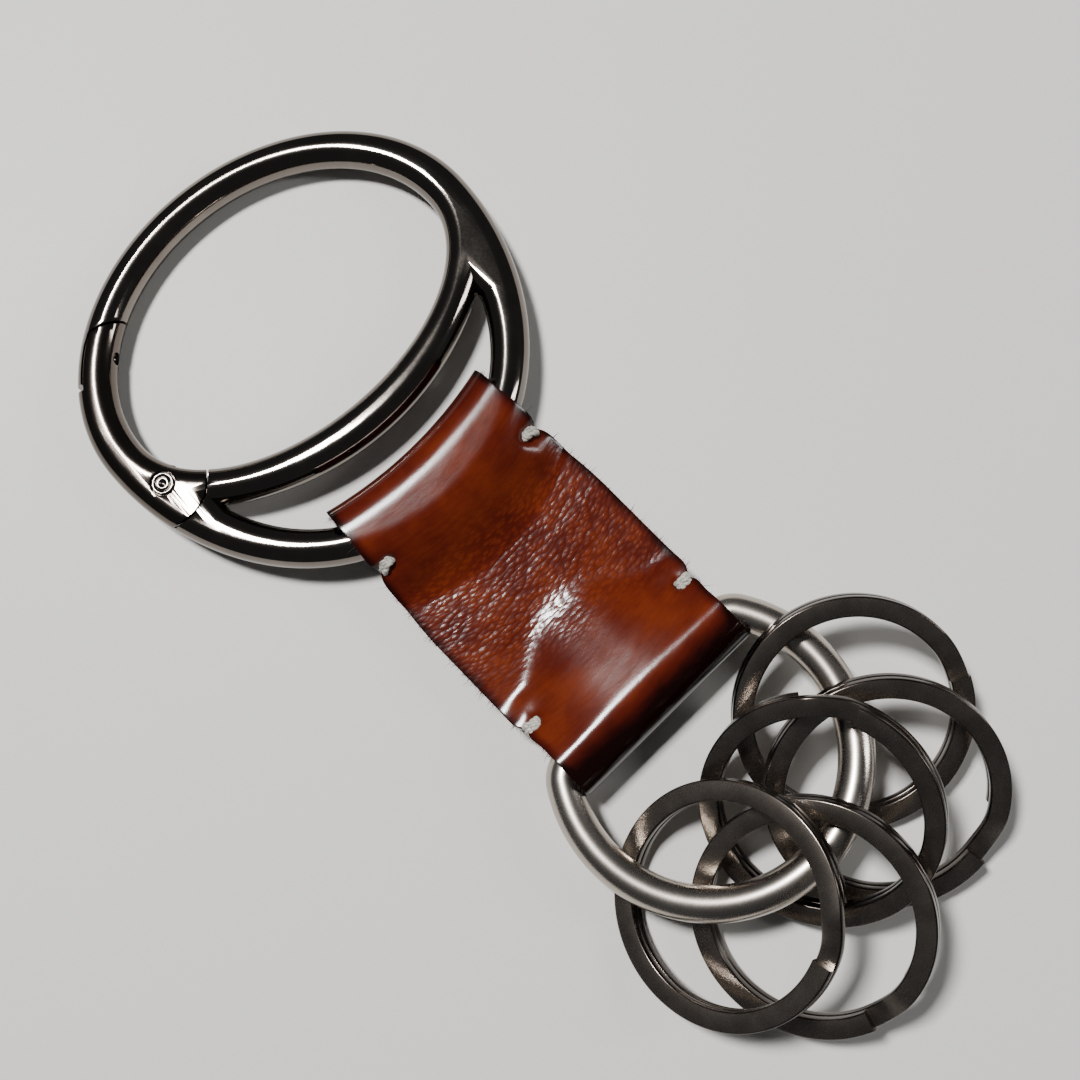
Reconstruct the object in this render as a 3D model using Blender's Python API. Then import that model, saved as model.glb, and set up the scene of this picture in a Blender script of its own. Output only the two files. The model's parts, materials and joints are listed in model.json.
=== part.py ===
"""Key organiser: a spring-gate ring, a folded leather strap, a D-ring and five split rings.

Lengths are metres and +Z is up. The organiser lies on a table: +X runs from the gate ring along
the strap to the split rings. Everything is placed from the line on which the strap hinges round
the gate ring's bar, and the last step centres the whole footprint on the origin.
"""
import math

import bmesh
import bpy
from mathutils import Matrix, Vector
from mathutils.geometry import interpolate_bezier

MM = 0.001
GAP = 0.30 * MM                 # running gap between neighbouring pieces

# ---- gate ring, in its own plane: x towards the strap, y across ---------------------------------
BAR = 4.5 * MM                  # diameter of the cast bar
ROUNDING = 0.48 * BAR           # edge rounding that makes the bar's section round
RING_OUTER = {"far": -19.6, "wide_x": 3.0, "wide": 28.3, "near": 34.5}      # mm
RING_OPENING = {"far": -15.1, "wide_x": 2.6, "wide": 23.2, "near": 16.4}    # mm
OUTER_HANDLES = (15.6, 12.6, 15.0, 18.2)        # mm, Bezier handles: far, wide back, wide front, near
OPENING_HANDLES = (12.8, 9.8, 7.5, 13.0)        # mm
SLOT_FRONT_ARC = (8.6, 21.4)    # mm, centre and radius of the slot's strap side
SLOT_BACK_ARC = (-14.9, 36.4)   # mm, centre and radius of the slot's crossbar side
SLOT_HALF = 19.9                # mm, half the slot's length, where both arcs stop at a blunt tip
RING_YAW = math.radians(-3.5)   # the ring lies turned a little in its strap loop,
RING_SHIFT = -1.4 * MM          # with its bar rolled this far along the fold

# ---- spring gate --------------------------------------------------------------------------------
PIVOT = Vector((9.1, -23.9, 0.0)) * MM
HINGE_SEAM = 5.4 * MM           # radius of the round hinge seam about the pivot
NOSE_SEAM = 21.8 * MM           # radius of the nose seam about the pivot
NOSE_HEADING = math.radians(165)
SEAM = 0.17 * MM                # half the width of both seams
LIP = 0.95 * MM                 # thickness of the nose lip that the gate stops on
LIP_LENGTH = 5.8 * MM
EYE = 2.1 * MM                  # radius of the frame's hinge eye
TANG = 1.5 * MM                 # thickness of the frame's hinge tang
TANG_HALF = 1.7 * MM
TANG_REACH = 6.2 * MM
TANG_HEADING = math.radians(25)
FORK = 2.1 * MM                 # slot between the gate's two cheeks
FORK_HEADING = math.radians(39)
PIN = 0.75 * MM                 # hinge rivet's shank radius
PIN_ROOM = 0.22 * MM
PIN_HEAD = 1.45 * MM
PIN_PROUD = 0.12 * MM
PIN_LIFT = 0.15 * MM            # between a rivet head and its seat
HEAD_SEAT = 1.75 * MM           # height of the seats under the rivet's heads
BORE = 1.15 * MM                # radius of the spring bore inside the gate
BORE_LENGTH = 7.6 * MM
BORE_HEADING = math.radians(193)
SPRING_R = 0.68 * MM
SPRING_WIRE = 0.15 * MM
SPRING_START = 4.0 * MM         # from the pivot to the spring's first turn
PLUNGER_R = 0.85 * MM
PLUNGER_STEM = 0.25 * MM
PLUNGER_HEAD = 0.9 * MM
PLUNGER_LENGTH = 3.4 * MM
DIMPLE = 0.8 * MM               # drilled dimple on the inner side of the gate's nose
DIMPLE_PLACE = Vector((-7.9, -18.7, 0.3)) * MM

# ---- leather strap, with x = 0 and z = LOOP_Z on its hinge line ----------------------------------
LEATHER = 1.5 * MM
LOOP_ROOM = 3.45 * MM           # half the room for the gate ring's bar
LOOP_Z = LEATHER + LOOP_ROOM    # height of that bar inside the strap
DEE_ROOM = 2.85 * MM            # half the room for the D-ring's bar
DEE_Z = LEATHER + DEE_ROOM
BAR_MIDDLE = 1.3 * MM           # how far the bar's middle lies past the hinge line
BAR_DROP = 3.4 * MM             # how far the curved bar falls back from there to the strap's edges
FOLD_END = -5.4 * MM            # inside of the gate ring's fold at the strap's edges
FOLD_SAG = 1.5 * MM             # how much further in the fold lies at mid width
FOLD_SQUARE = 2.8               # superellipse power of the fold's section, 2 for round
SWING_X = -0.4 * MM             # the strap swings about a line this far along from the hinge line
STRAP_END = 38.7 * MM           # outside of the D-ring's fold
DEE_X = STRAP_END - LEATHER - DEE_ROOM
HALF_WIDTHS = (12.4, 13.9, 13.2)    # mm, at the gate ring's fold, the middle and the D-ring's fold
LAYER_GAP = 1.6 * MM            # between the two layers in the middle of the strap
LOOP_RAMP_START = 0.6 * MM      # where the top layer starts down from the gate ring's bar
RAMP = 9.5 * MM                 # how long it takes to come down
RISE_START = (17.5, 23.0)       # where it starts to rise to the D-ring, at mid width and at the edges
RISE_EASE = (5.0, 1.6)          # over how many mm the rise sets in, and levels out over the D-ring
BUTT_X = 16.0 * MM              # where the strip's two cut ends meet under the strap
BUTT_GAP = 0.5 * MM
STITCHES = {"ring_left": (3.4, 1), "ring_right": (2.9, -1),     # mm along the strap, and its side
            "dee_left": (28.8, 1), "dee_right": (28.4, -1)}
STITCH_INSET = 2.4 * MM         # from the strap's edge to a stitch hole
SKIVE = ((0, 11.9), (2.5, 11.9), (2.95, 12.35), (4.4, 13.2), (4.4, 15.0), (0, 15.0))   # mm, radius
# about the D-ring's bar and distance from mid width: the fold is pared away where the bar bends
THREAD = 0.75 * MM
THREAD_WIDTH = 1.6 * MM
THREAD_SINK = 0.10 * MM
THREAD_CLEAR = 0.15 * MM        # the stitches' height above the table

# ---- D-ring and split rings ---------------------------------------------------------------------
DEE_R = 17.0 * MM               # centre line of the round part
DEE_WIRE = 2.15 * MM
DEE_FLAT = 10.5 * MM            # from the round part's centre to the straight bar
DEE_BEND = 3.2 * MM
DEE_LIFT = math.radians(6.5)    # the round end rests on the split rings
DEE_CENTRE = Vector((DEE_X + DEE_FLAT * math.cos(DEE_LIFT), 0, 0))
SPLIT_OUT = 14.0 * MM
SPLIT_IN = 11.6 * MM
SPLIT_TURN = 1.1 * MM           # thickness of one turn
SPLIT_GAP = 0.10 * MM           # between the two turns
SPLIT_STEP = math.radians(24)   # arc in which the band steps from one turn to the other
SPLIT_END = math.radians(3)     # clearance of both band ends from the step
# Where each split ring lies, from the D-ring's centre: mm along the strap, mm across it, height in
# mm, slope in degrees, the heading that the slope falls to and the split's heading, in degrees.
SPLIT_SEATS = (
    (8.4, 15.3, 5.62, 18.6, -38.1, 80),
    (17.3, 11.4, 6.17, 20.9, -47.3, 25),
    (13.3, 4.4, 8.22, 30.8, -86.2, 130),
    (21.0, -4.6, 7.11, 25.4, -99.0, 0),
    (13.2, -10.5, 8.22, 31.0, -127.7, 35),
)


class Finish:
    """A piece's colour, roughness and metallic value."""

    def __init__(self, name, rgb, roughness, metallic):
        self.material = bpy.data.materials.new(name)
        self.material.use_nodes = True
        shader = self.material.node_tree.nodes["Principled BSDF"]
        shader.inputs["Base Color"].default_value = (*rgb, 1.0)
        shader.inputs["Roughness"].default_value = roughness
        shader.inputs["Metallic"].default_value = metallic


def clear_scene():
    """Remove the objects and meshes of whatever scene the script is run in."""
    for thing in list(bpy.data.objects):
        bpy.data.objects.remove(thing, do_unlink=True)


def add_empty(name, parent=None, location=(0, 0, 0), turn=None):
    """Add an empty that carries a joint axis or a sub-assembly."""
    empty = bpy.data.objects.new(name, None)
    empty.empty_display_size = 5 * MM
    empty.matrix_local = Matrix.Translation(Vector(location)) @ (turn or Matrix.Identity(4))
    empty.parent = parent
    bpy.context.scene.collection.objects.link(empty)
    return empty


def add_object(name, data, finish, parent=None, smooth_deg=35):
    """Link a mesh or curve under its parent, dressed in one finish."""
    thing = bpy.data.objects.new(name, data)
    thing.parent = parent
    bpy.context.scene.collection.objects.link(thing)
    if finish:
        data.materials.append(finish.material)
    if isinstance(data, bpy.types.Mesh):
        data.shade_smooth()
        data.set_sharp_from_angle(angle=math.radians(smooth_deg))
    return thing


def to_mesh(name, bm):
    """Write a bmesh to a new mesh with its faces turned outwards."""
    bmesh.ops.recalc_face_normals(bm, faces=bm.faces)
    mesh = bpy.data.meshes.new(name)
    bm.to_mesh(mesh)
    bm.free()
    return mesh


def prism_mesh(name, outline, low, high):
    """Extrude a closed outline of (x, y) points in metres from height low to height high."""
    bm = bmesh.new()
    face = bm.faces.new([bm.verts.new((x, y, low)) for x, y in outline])
    lifted = bmesh.ops.extrude_face_region(bm, geom=[face])
    verts = [item for item in lifted["geom"] if isinstance(item, bmesh.types.BMVert)]
    bmesh.ops.translate(bm, verts=verts, vec=(0, 0, high - low))
    return to_mesh(name, bm)


def turned_mesh(name, profile, steps=24):
    """Turn (radius, height) points, from the axis out and back to it, about Z."""
    bm = bmesh.new()
    verts = [bm.verts.new((radius, 0, height)) for radius, height in profile]
    edges = [bm.edges.new(pair) for pair in zip(verts, verts[1:])]
    bmesh.ops.spin(bm, geom=verts + edges, axis=(0, 0, 1), cent=(0, 0, 0),
                   steps=steps, angle=math.tau, use_merge=True)
    bmesh.ops.remove_doubles(bm, verts=bm.verts, dist=1e-6)
    return to_mesh(name, bm)


def cylinder_mesh(name, radius, low, high, steps=24):
    """Make a plain cylinder about Z."""
    return turned_mesh(name, [(0, low), (radius, low), (radius, high), (0, high)], steps)


def cut(target, operation, name, mesh, parent=None, turn=None, solver="EXACT"):
    """Add a hidden cutter and a Boolean modifier that uses it."""
    cutter = add_object(name, mesh, None, parent)
    if turn:
        cutter.matrix_local = turn
    cutter.hide_render = True
    cutter.display_type = "WIRE"
    boolean = target.modifiers.new(name, "BOOLEAN")
    boolean.operation = operation
    boolean.solver = solver
    boolean.object = cutter


def heading(angle, length=1.0):
    """Return the point at a distance and angle in the XY plane."""
    return Vector((math.cos(angle), math.sin(angle), 0)) * length


# ---- gate ring ----------------------------------------------------------------------------------

def egg_outline(size, handles, per_quarter):
    """Return an egg-shaped outline, far end to near end and back, as four Bezier quarters."""
    far_side, wide_back, wide_front, near_side = handles
    anchors = []
    for side in (1, -1):
        far = ((size["far"], 0), (size["far"], far_side * side))
        wide_in = ((size["wide_x"] - wide_back, size["wide"] * side), (size["wide_x"], size["wide"] * side))
        wide_out = ((size["wide_x"], size["wide"] * side), (size["wide_x"] + wide_front, size["wide"] * side))
        near = ((size["near"], near_side * side), (size["near"], 0))
        quarters = [far + wide_in, wide_out + near]
        if side == -1:
            quarters = [tuple(reversed(quarter)) for quarter in reversed(quarters)]
        anchors += quarters
    points = []
    for quarter in anchors:
        knots = [Vector((x, y, 0)) * MM for x, y in quarter]
        points += interpolate_bezier(*knots, per_quarter + 1)[:-1]
    return points


def slot_outline(per_side):
    """Return the crescent slot between the crossbar and the strap bar, with blunt tips."""
    front_x, front_r = SLOT_FRONT_ARC
    back_x, back_r = SLOT_BACK_ARC
    front_end = math.asin(SLOT_HALF / front_r)
    back_end = math.asin(SLOT_HALF / back_r)
    points = []
    for step in range(per_side + 1):
        angle = front_end * (1 - 2 * step / per_side)
        points.append(Vector((front_x + front_r * math.cos(angle), front_r * math.sin(angle), 0)))
    for step in range(per_side + 1):
        angle = back_end * (2 * step / per_side - 1)
        points.append(Vector((back_x + back_r * math.cos(angle), back_r * math.sin(angle), 0)))
    return [point * MM for point in points]


def ring_casting(name):
    """Make the whole ring, gate included: a filled outline with the opening and the slot in it."""
    curve = bpy.data.curves.new(name, "CURVE")
    curve.dimensions = "2D"
    curve.fill_mode = "BOTH"
    outlines = (egg_outline(RING_OUTER, OUTER_HANDLES, 18),
                egg_outline(RING_OPENING, OPENING_HANDLES, 15),
                slot_outline(14))
    for outline in outlines:
        spline = curve.splines.new("POLY")
        spline.points.add(len(outline) - 1)
        for point, place in zip(spline.points, outline):
            point.co = (place.x, place.y, 0, 1)
        spline.use_cyclic_u = True
    curve.bevel_depth = ROUNDING
    curve.bevel_resolution = 3
    curve.offset = -ROUNDING
    curve.extrude = BAR / 2 - ROUNDING
    holder = bpy.data.objects.new(name, curve)
    bm = bmesh.new()
    bm.from_mesh(bpy.data.meshes.new_from_object(holder))
    bpy.data.objects.remove(holder)
    bmesh.ops.remove_doubles(bm, verts=bm.verts, dist=2e-6)
    return to_mesh(name, bm)


def gate_window(grow):
    """Return the outline of the gate's place in the ring, larger or smaller by grow all round.

    It runs along the nose seam, inside the nose lip, round the outside of the ring and back
    along the hinge seam through the opening.
    """
    nose_radius = NOSE_SEAM + grow
    outer = [p for p in egg_outline(RING_OUTER, OUTER_HANDLES, 40) if p.y < 0 and p.x < PIVOT.x]
    lip = [p for p in outer if (p - PIVOT).length < nose_radius]
    lip.sort(key=lambda p: p.x)
    inset = LIP + SEAM - grow
    reach = LIP_LENGTH + SEAM - grow
    window = [PIVOT + heading(NOSE_HEADING - math.radians(28 - 4 * step), nose_radius) for step in range(11)]
    window = [p for p in window if not inside_lip(p, outer, inset)]
    travelled = 0.0
    for before, after in zip(lip, lip[1:]):
        travelled += (after - before).length
        along = (after - before).normalized()
        inward = Vector((-along.y, along.x, 0))
        window.append(after + inward * inset)
        if travelled > reach:
            window.append(after - inward * 2 * MM)
            break
    window += [Vector((-2, -34, 0)) * MM, Vector((10, -34, 0)) * MM]
    hinge = HINGE_SEAM + grow
    window += [PIVOT + heading(math.radians(angle), hinge) for angle in range(-80, 101, 9)]
    return [(p.x, p.y) for p in window]


def inside_lip(point, outer, inset):
    """Say whether a point lies outside the ring or within the lip's thickness of its outer edge."""
    nearest = min(outer, key=lambda p: (p - point).length)
    centre = Vector((RING_OUTER["wide_x"] * MM, 0, 0))
    beyond = (point - centre).length > (nearest - centre).length
    return beyond or (nearest - point).length < inset


def build_gate_ring(base, black_nickel, satin_nickel, steel):
    """Build the frame, the gate, its rivet, spring and plunger under one turned empty."""
    tilt = math.asin((LOOP_Z - BAR / 2) / ((RING_OUTER["near"] - RING_OUTER["far"]) * MM - BAR))
    turn = Matrix.Rotation(RING_YAW, 4, "Z") @ Matrix.Rotation(-tilt, 4, "Y")
    bar_middle = Vector((RING_OUTER["near"] * MM - BAR / 2 - BAR_MIDDLE, 0, 0))
    ring = add_empty("gate_ring_plane", base, Vector((0, RING_SHIFT, LOOP_Z)) - turn @ bar_middle, turn)

    tall = BAR
    frame = add_object("ring_frame", ring_casting("ring_frame"), black_nickel, ring)
    cut(frame, "DIFFERENCE", "cut_gate_window", prism_mesh("gate_window", gate_window(SEAM), -tall, tall), ring)
    tang = [PIVOT + heading(TANG_HEADING + math.radians(angle), EYE) for angle in range(60, 301, 20)]
    end = PIVOT + heading(TANG_HEADING, TANG_REACH)
    side = heading(TANG_HEADING + math.radians(90), TANG_HALF)
    tang += [end - side, end + side]
    cut(frame, "UNION", "add_hinge_tang",
        prism_mesh("hinge_tang", [(p.x, p.y) for p in tang], -TANG / 2, TANG / 2), ring)
    at_pivot = Matrix.Translation(PIVOT)
    hole = PIN + PIN_ROOM
    cut(frame, "DIFFERENCE", "cut_tang_hole", cylinder_mesh("tang_hole", hole, -tall, tall, 16), ring, at_pivot)

    hinge = add_empty("gate_hinge", ring, PIVOT)
    home = Matrix.Translation(-PIVOT)
    gate_mesh = ring_casting("gate")
    gate_mesh.transform(home)
    gate = add_object("gate", gate_mesh, satin_nickel, hinge)
    window = prism_mesh("gate_body", gate_window(-SEAM), -tall, tall)
    window.transform(home)
    cut(gate, "INTERSECT", "keep_gate", window, hinge)
    fork = [heading(FORK_HEADING + math.radians(angle), EYE + GAP) for angle in range(90, 271, 15)]
    fork += [heading(FORK_HEADING - math.radians(55), 3 * HINGE_SEAM)]
    fork += [heading(FORK_HEADING + math.radians(55), 3 * HINGE_SEAM)]
    fork_mesh = prism_mesh("fork_slot", [(p.x, p.y) for p in fork], -FORK / 2, FORK / 2)
    cut(gate, "DIFFERENCE", "cut_fork_slot", fork_mesh, hinge)
    cut(gate, "DIFFERENCE", "cut_rivet_hole", cylinder_mesh("rivet_hole", hole, -tall, tall, 16), hinge)
    for name, low, high in (("top", HEAD_SEAT, tall), ("bottom", -tall, -HEAD_SEAT)):
        seat = cylinder_mesh("rivet_seat", PIN_HEAD + PIN_ROOM, low, high)
        cut(gate, "DIFFERENCE", f"cut_{name}_seat", seat, hinge)
    along_bore = Matrix.Rotation(BORE_HEADING, 4, "Z") @ Matrix.Rotation(math.radians(90), 4, "Y")
    bore = cylinder_mesh("spring_bore", BORE, EYE - GAP, EYE + BORE_LENGTH, 16)
    cut(gate, "DIFFERENCE", "cut_spring_bore", bore, hinge, along_bore)
    dimple = bmesh.new()
    bmesh.ops.create_icosphere(dimple, subdivisions=2, radius=DIMPLE)
    cut(gate, "DIFFERENCE", "cut_nose_dimple", to_mesh("nose_dimple", dimple), hinge,
        home @ Matrix.Translation(DIMPLE_PLACE))

    add_object("gate_rivet", rivet_mesh(), satin_nickel, hinge)
    coil = add_object("gate_spring", spring_mesh(), steel, hinge)
    coil.matrix_local = along_bore
    slide = add_empty("plunger_slide", hinge, (0, 0, 0), along_bore)
    add_object("gate_plunger", plunger_mesh(), steel, slide)
    return ring


def rivet_mesh():
    """Turn the hinge rivet: a shank with two flat heads, each with a groove and a centre dimple."""
    crown = BAR / 2 + PIN_PROUD
    upper = [(PIN, HEAD_SEAT + PIN_LIFT), (PIN_HEAD, HEAD_SEAT + PIN_LIFT),
             (PIN_HEAD, crown - 0.15 * MM), (0.86 * PIN_HEAD, crown),
             (0.68 * PIN_HEAD, crown), (0.58 * PIN_HEAD, crown - 0.12 * MM),
             (0.48 * PIN_HEAD, crown), (0.22 * PIN_HEAD, crown), (0, crown - 0.18 * MM)]
    lower = [(radius, -height) for radius, height in reversed(upper)]
    return turned_mesh("gate_rivet", lower + upper, 20)


def spring_mesh():
    """Wind the gate's compression spring about Z."""
    turns, per_turn, sides = 5, 10, 6
    low = SPRING_START
    high = EYE + BORE_LENGTH - GAP - SPRING_WIRE
    bm = bmesh.new()
    loops = []
    for step in range(turns * per_turn + 1):
        angle = math.tau * step / per_turn
        height = low + (high - low) * step / (turns * per_turn)
        rise = (high - low) / (turns * math.tau * SPRING_R)
        centre = Vector((SPRING_R * math.cos(angle), SPRING_R * math.sin(angle), height))
        out = Vector((math.cos(angle), math.sin(angle), 0))
        up = Vector((rise * math.sin(angle), -rise * math.cos(angle), 1)).normalized()
        ring = [centre + (out * math.cos(turn) + up * math.sin(turn)) * SPRING_WIRE
                for turn in (math.tau * side / sides for side in range(sides))]
        loops.append([bm.verts.new(point) for point in ring])
    close_sweep(bm, loops)
    return to_mesh("gate_spring", bm)


def close_sweep(bm, loops):
    """Skin a list of vertex loops and cap both ends."""
    count = len(loops[0])
    for before, after in zip(loops, loops[1:]):
        for side in range(count):
            ahead = (side + 1) % count
            bm.faces.new((before[side], before[ahead], after[ahead], after[side]))
    bm.faces.new(list(reversed(loops[0])))
    bm.faces.new(loops[-1])


def plunger_mesh():
    """Turn the plunger: a head that bears on the hinge eye and a stem inside the spring."""
    face = EYE + GAP
    return turned_mesh("gate_plunger", [
        (0, face), (0.7 * PLUNGER_R, face), (PLUNGER_R, face + 0.25 * MM),
        (PLUNGER_R, face + PLUNGER_HEAD), (PLUNGER_STEM, face + PLUNGER_HEAD),
        (PLUNGER_STEM, face + PLUNGER_LENGTH), (0, face + PLUNGER_LENGTH)], 14)


# ---- leather strap ------------------------------------------------------------------------------

def smooth_step(value):
    """Ease from 0 to 1."""
    value = min(1.0, max(0.0, value))
    return value * value * (3 - 2 * value)


def half_width(x):
    """Return half the strap's width at x."""
    fold, middle, dee = HALF_WIDTHS
    spread = smooth_step((x / MM + 4) / 18)
    narrow = smooth_step((x / MM - 27) / 5)
    return (fold + (middle - fold) * spread + (dee - middle) * narrow) * MM


def bow(across):
    """Return how far the ring's bar lies past the hinge line at a share of the half width."""
    return BAR_MIDDLE - BAR_DROP * across * across


def climbed(x, start, ease):
    """Return how far a slope of 1 has climbed by x, when it sets in over a distance from its start."""
    share = min(1.0, max(0.0, (x - start) / ease))
    return ease * (share ** 3 - share ** 4 / 2) + max(0.0, x - start - ease)


def rise_share(x, across):
    """Return how much of its rise to the D-ring the top layer has made at x."""
    middle, edge = (start * MM for start in RISE_START)
    start = middle + (edge - middle) * smooth_step((abs(across) - 0.35) / 0.4)
    sets_in, levels = (ease * MM for ease in RISE_EASE)
    here, end = (climbed(place, start, sets_in) - climbed(place, DEE_X - levels, levels) for place in (x, DEE_X))
    return here / end


def top_height(x, across):
    """Return the height of the top layer's middle surface."""
    middle = LEATHER * 1.5 + LAYER_GAP
    loop_top = LOOP_Z + LOOP_ROOM + LEATHER / 2
    dee_top = DEE_Z + DEE_ROOM + LEATHER / 2
    down = smooth_step((x - bow(across) - LOOP_RAMP_START) / RAMP)
    return middle + (loop_top - middle) * (1 - down) + (dee_top - middle) * rise_share(x, across)


def strap_path(across):
    """Return the folded strip's middle line at one place across its width, as (x, z) points.

    It starts at the cut end under the strap, runs to the D-ring fold, back over the top, round
    the gate ring's bar and along the underside to the other cut end.
    """
    under = LEATHER / 2
    butt = BUTT_X + BUTT_GAP / 2
    path = [(butt + (DEE_X - butt) * step / 4, under) for step in range(4)]
    radius = DEE_ROOM + LEATHER / 2
    for step in range(11):
        angle = math.radians(-90 + 18 * step)
        path.append((DEE_X + radius * math.cos(angle), DEE_Z + radius * math.sin(angle)))
    left = FOLD_END - LEATHER / 2 + FOLD_SAG * (1 - across * across)
    tall = LOOP_ROOM + LEATHER / 2
    start = left + tall
    steps = 22
    for step in range(1, steps):
        x = DEE_X + (start - DEE_X) * step / steps
        path.append((x, top_height(x, across)))
    for step in range(13):
        angle = math.radians(15 * step)
        back = tall * math.sin(angle) ** (2 / FOLD_SQUARE)
        up = math.copysign(tall * abs(math.cos(angle)) ** (2 / FOLD_SQUARE), math.cos(angle))
        path.append((start - back, LOOP_Z + up))
    butt = BUTT_X - BUTT_GAP / 2
    path += [(start + (butt - start) * step / 4, under) for step in range(1, 5)]
    return path


def build_strap(leather, thread, hinge):
    """Build the folded strip and its four edge stitches."""
    bm = bmesh.new()
    columns = 10
    grid = []
    for column in range(columns + 1):
        across = 2 * column / columns - 1
        line = []
        for x, z in strap_path(across):
            line.append(bm.verts.new((x, across * half_width(x), z - LOOP_Z)))
        grid.append(line)
    for left, right in zip(grid, grid[1:]):
        for row in range(len(left) - 1):
            bm.faces.new((left[row], left[row + 1], right[row + 1], right[row]))
    strap = add_object("strap", to_mesh("strap", bm), leather, hinge)
    shell = strap.modifiers.new("thickness", "SOLIDIFY")
    shell.thickness = LEATHER
    shell.offset = 0.0
    shell.use_even_offset = True

    for side, quarter in (("left", -90), ("right", 90)):
        turn = Matrix.Translation((DEE_X, 0, DEE_Z - LOOP_Z)) @ Matrix.Rotation(math.radians(quarter), 4, "X")
        skive = turned_mesh("fold_skive", [(radius * MM, place * MM) for radius, place in SKIVE], 20)
        cut(strap, "DIFFERENCE", f"cut_skive_{side}", skive, hinge, turn, "MANIFOLD")
    for place, (x, sign) in STITCHES.items():
        name = f"stitch_{place}"
        channel = stitch_mesh(f"{name}_channel", x * MM, sign, GAP)
        cut(strap, "DIFFERENCE", f"cut_{name}", channel, hinge, None, "MANIFOLD")
        add_object(name, stitch_mesh(name, x * MM, sign, 0.0), thread, hinge)
    return strap


def stitch_mesh(name, x, sign, grow):
    """Make one whip stitch: a closed loop of thread round the strap's edge, or its channel."""
    edge = half_width(x)
    inner = edge - STITCH_INSET
    outer = edge - THREAD_SINK
    top = top_height(x, 1.0) + LEATHER / 2 - THREAD_SINK
    bottom = THREAD / 2 + THREAD_CLEAR
    thick = THREAD / 2 + grow
    half = THREAD_WIDTH / 2 + grow
    middle_y = (inner + outer) / 2
    middle_z = (top + bottom) / 2
    bm = bmesh.new()
    sections = []
    for extra in (thick, -thick):
        half_y = (outer - inner) / 2 + extra
        half_z = (top - bottom) / 2 + extra
        trim = 0.35 * MM if extra > 0 else 0.15 * MM
        corners = [(half_y, half_z - trim), (half_y - trim, half_z), (trim - half_y, half_z),
                   (-half_y, half_z - trim), (-half_y, trim - half_z), (trim - half_y, -half_z),
                   (half_y - trim, -half_z), (half_y, trim - half_z)]
        for place in (x - half, x + half):
            sections.append([bm.verts.new((place, sign * (middle_y + dy), middle_z + dz - LOOP_Z))
                             for dy, dz in corners])
    outer_low, outer_high, inner_low, inner_high = sections
    for first, second in ((outer_low, outer_high), (outer_high, inner_high),
                          (inner_high, inner_low), (inner_low, outer_low)):
        for corner in range(8):
            ahead = (corner + 1) % 8
            bm.faces.new((first[corner], first[ahead], second[ahead], second[corner]))
    return to_mesh(name, bm)


# ---- D-ring and split rings ---------------------------------------------------------------------

def dee_path():
    """Return the D-ring's centre line about the round part's centre, its flat towards -X."""
    centre = Vector((DEE_BEND - DEE_FLAT, 0, 0))
    centre.y = math.sqrt((DEE_R - DEE_BEND) ** 2 - centre.x ** 2)
    touch = math.atan2(centre.y, centre.x)
    arc = [heading(touch * (1 - 2 * step / 34), DEE_R) for step in range(35)]
    low = Vector((centre.x, -centre.y, 0))
    bend = [low + heading(-touch - (math.pi - touch) * step / 6, DEE_BEND) for step in range(1, 7)]
    straight = [Vector((-DEE_FLAT, y * centre.y, 0)) for y in (-0.5, 0.0, 0.5)]
    mirrored = [Vector((point.x, -point.y, 0)) for point in reversed(bend)]
    return arc + bend + straight + mirrored


def build_dee_ring(nickel, hinge):
    """Build the D-ring on its hinge, with its round end lifted by the split rings."""
    lift = add_empty("dee_ring_plane", hinge, (0, 0, 0), Matrix.Rotation(-DEE_LIFT, 4, "Y"))
    curve = bpy.data.curves.new("dee_ring", "CURVE")
    curve.dimensions = "3D"
    spline = curve.splines.new("POLY")
    path = dee_path()
    spline.points.add(len(path) - 1)
    for point, place in zip(spline.points, path):
        point.co = (place.x + DEE_FLAT, place.y, 0, 1)
    spline.use_cyclic_u = True
    curve.bevel_depth = DEE_WIRE
    curve.bevel_resolution = 4
    curve.use_fill_caps = True
    add_object("dee_ring", curve, nickel, lift)
    return lift


def split_ring_mesh(name):
    """Coil a flat band for two turns, stepping from the lower turn to the upper at the split."""
    per_turn = 36
    first = SPLIT_STEP / 2 + SPLIT_END
    last = 2 * math.tau - SPLIT_STEP / 2 - SPLIT_END
    rise = SPLIT_TURN + SPLIT_GAP
    steps = 2 * per_turn - 2
    bm = bmesh.new()
    loops = []
    for step in range(steps + 1):
        angle = first + (last - first) * step / steps
        climb = smooth_step((angle - math.tau + SPLIT_STEP / 2) / SPLIT_STEP)
        height = rise * (climb - 0.5)
        out = heading(angle)
        loops.append([bm.verts.new(out * radius + Vector((0, 0, height + z))) for radius, z in (
            (SPLIT_IN, -SPLIT_TURN / 2), (SPLIT_OUT, -SPLIT_TURN / 2),
            (SPLIT_OUT, SPLIT_TURN / 2), (SPLIT_IN, SPLIT_TURN / 2))])
    close_sweep(bm, loops)
    return to_mesh(name, bm)


def build_split_rings(black_nickel, dee_plane):
    """Thread five split rings on the D-ring, each leaning on it and on its neighbour."""
    for number, seat in enumerate(SPLIT_SEATS, start=1):
        along, across, height, slope, downhill, split = seat
        downhill = math.radians(downhill)
        lean_axis = heading(downhill + math.radians(90))
        turn = Matrix.Rotation(math.radians(slope), 4, lean_axis)
        turn = turn @ Matrix.Rotation(math.radians(split), 4, "Z")
        place = Vector((DEE_CENTRE.x + along * MM, DEE_CENTRE.y + across * MM, height * MM))
        axis = add_empty(f"split_ring_{number}_axis", None, place, turn)
        name = f"split_ring_{number}"
        add_object(name, split_ring_mesh(name), black_nickel, axis)
        axis.parent = dee_plane
        bpy.context.view_layer.update()
        axis.matrix_parent_inverse = dee_plane.matrix_world.inverted()


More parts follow.
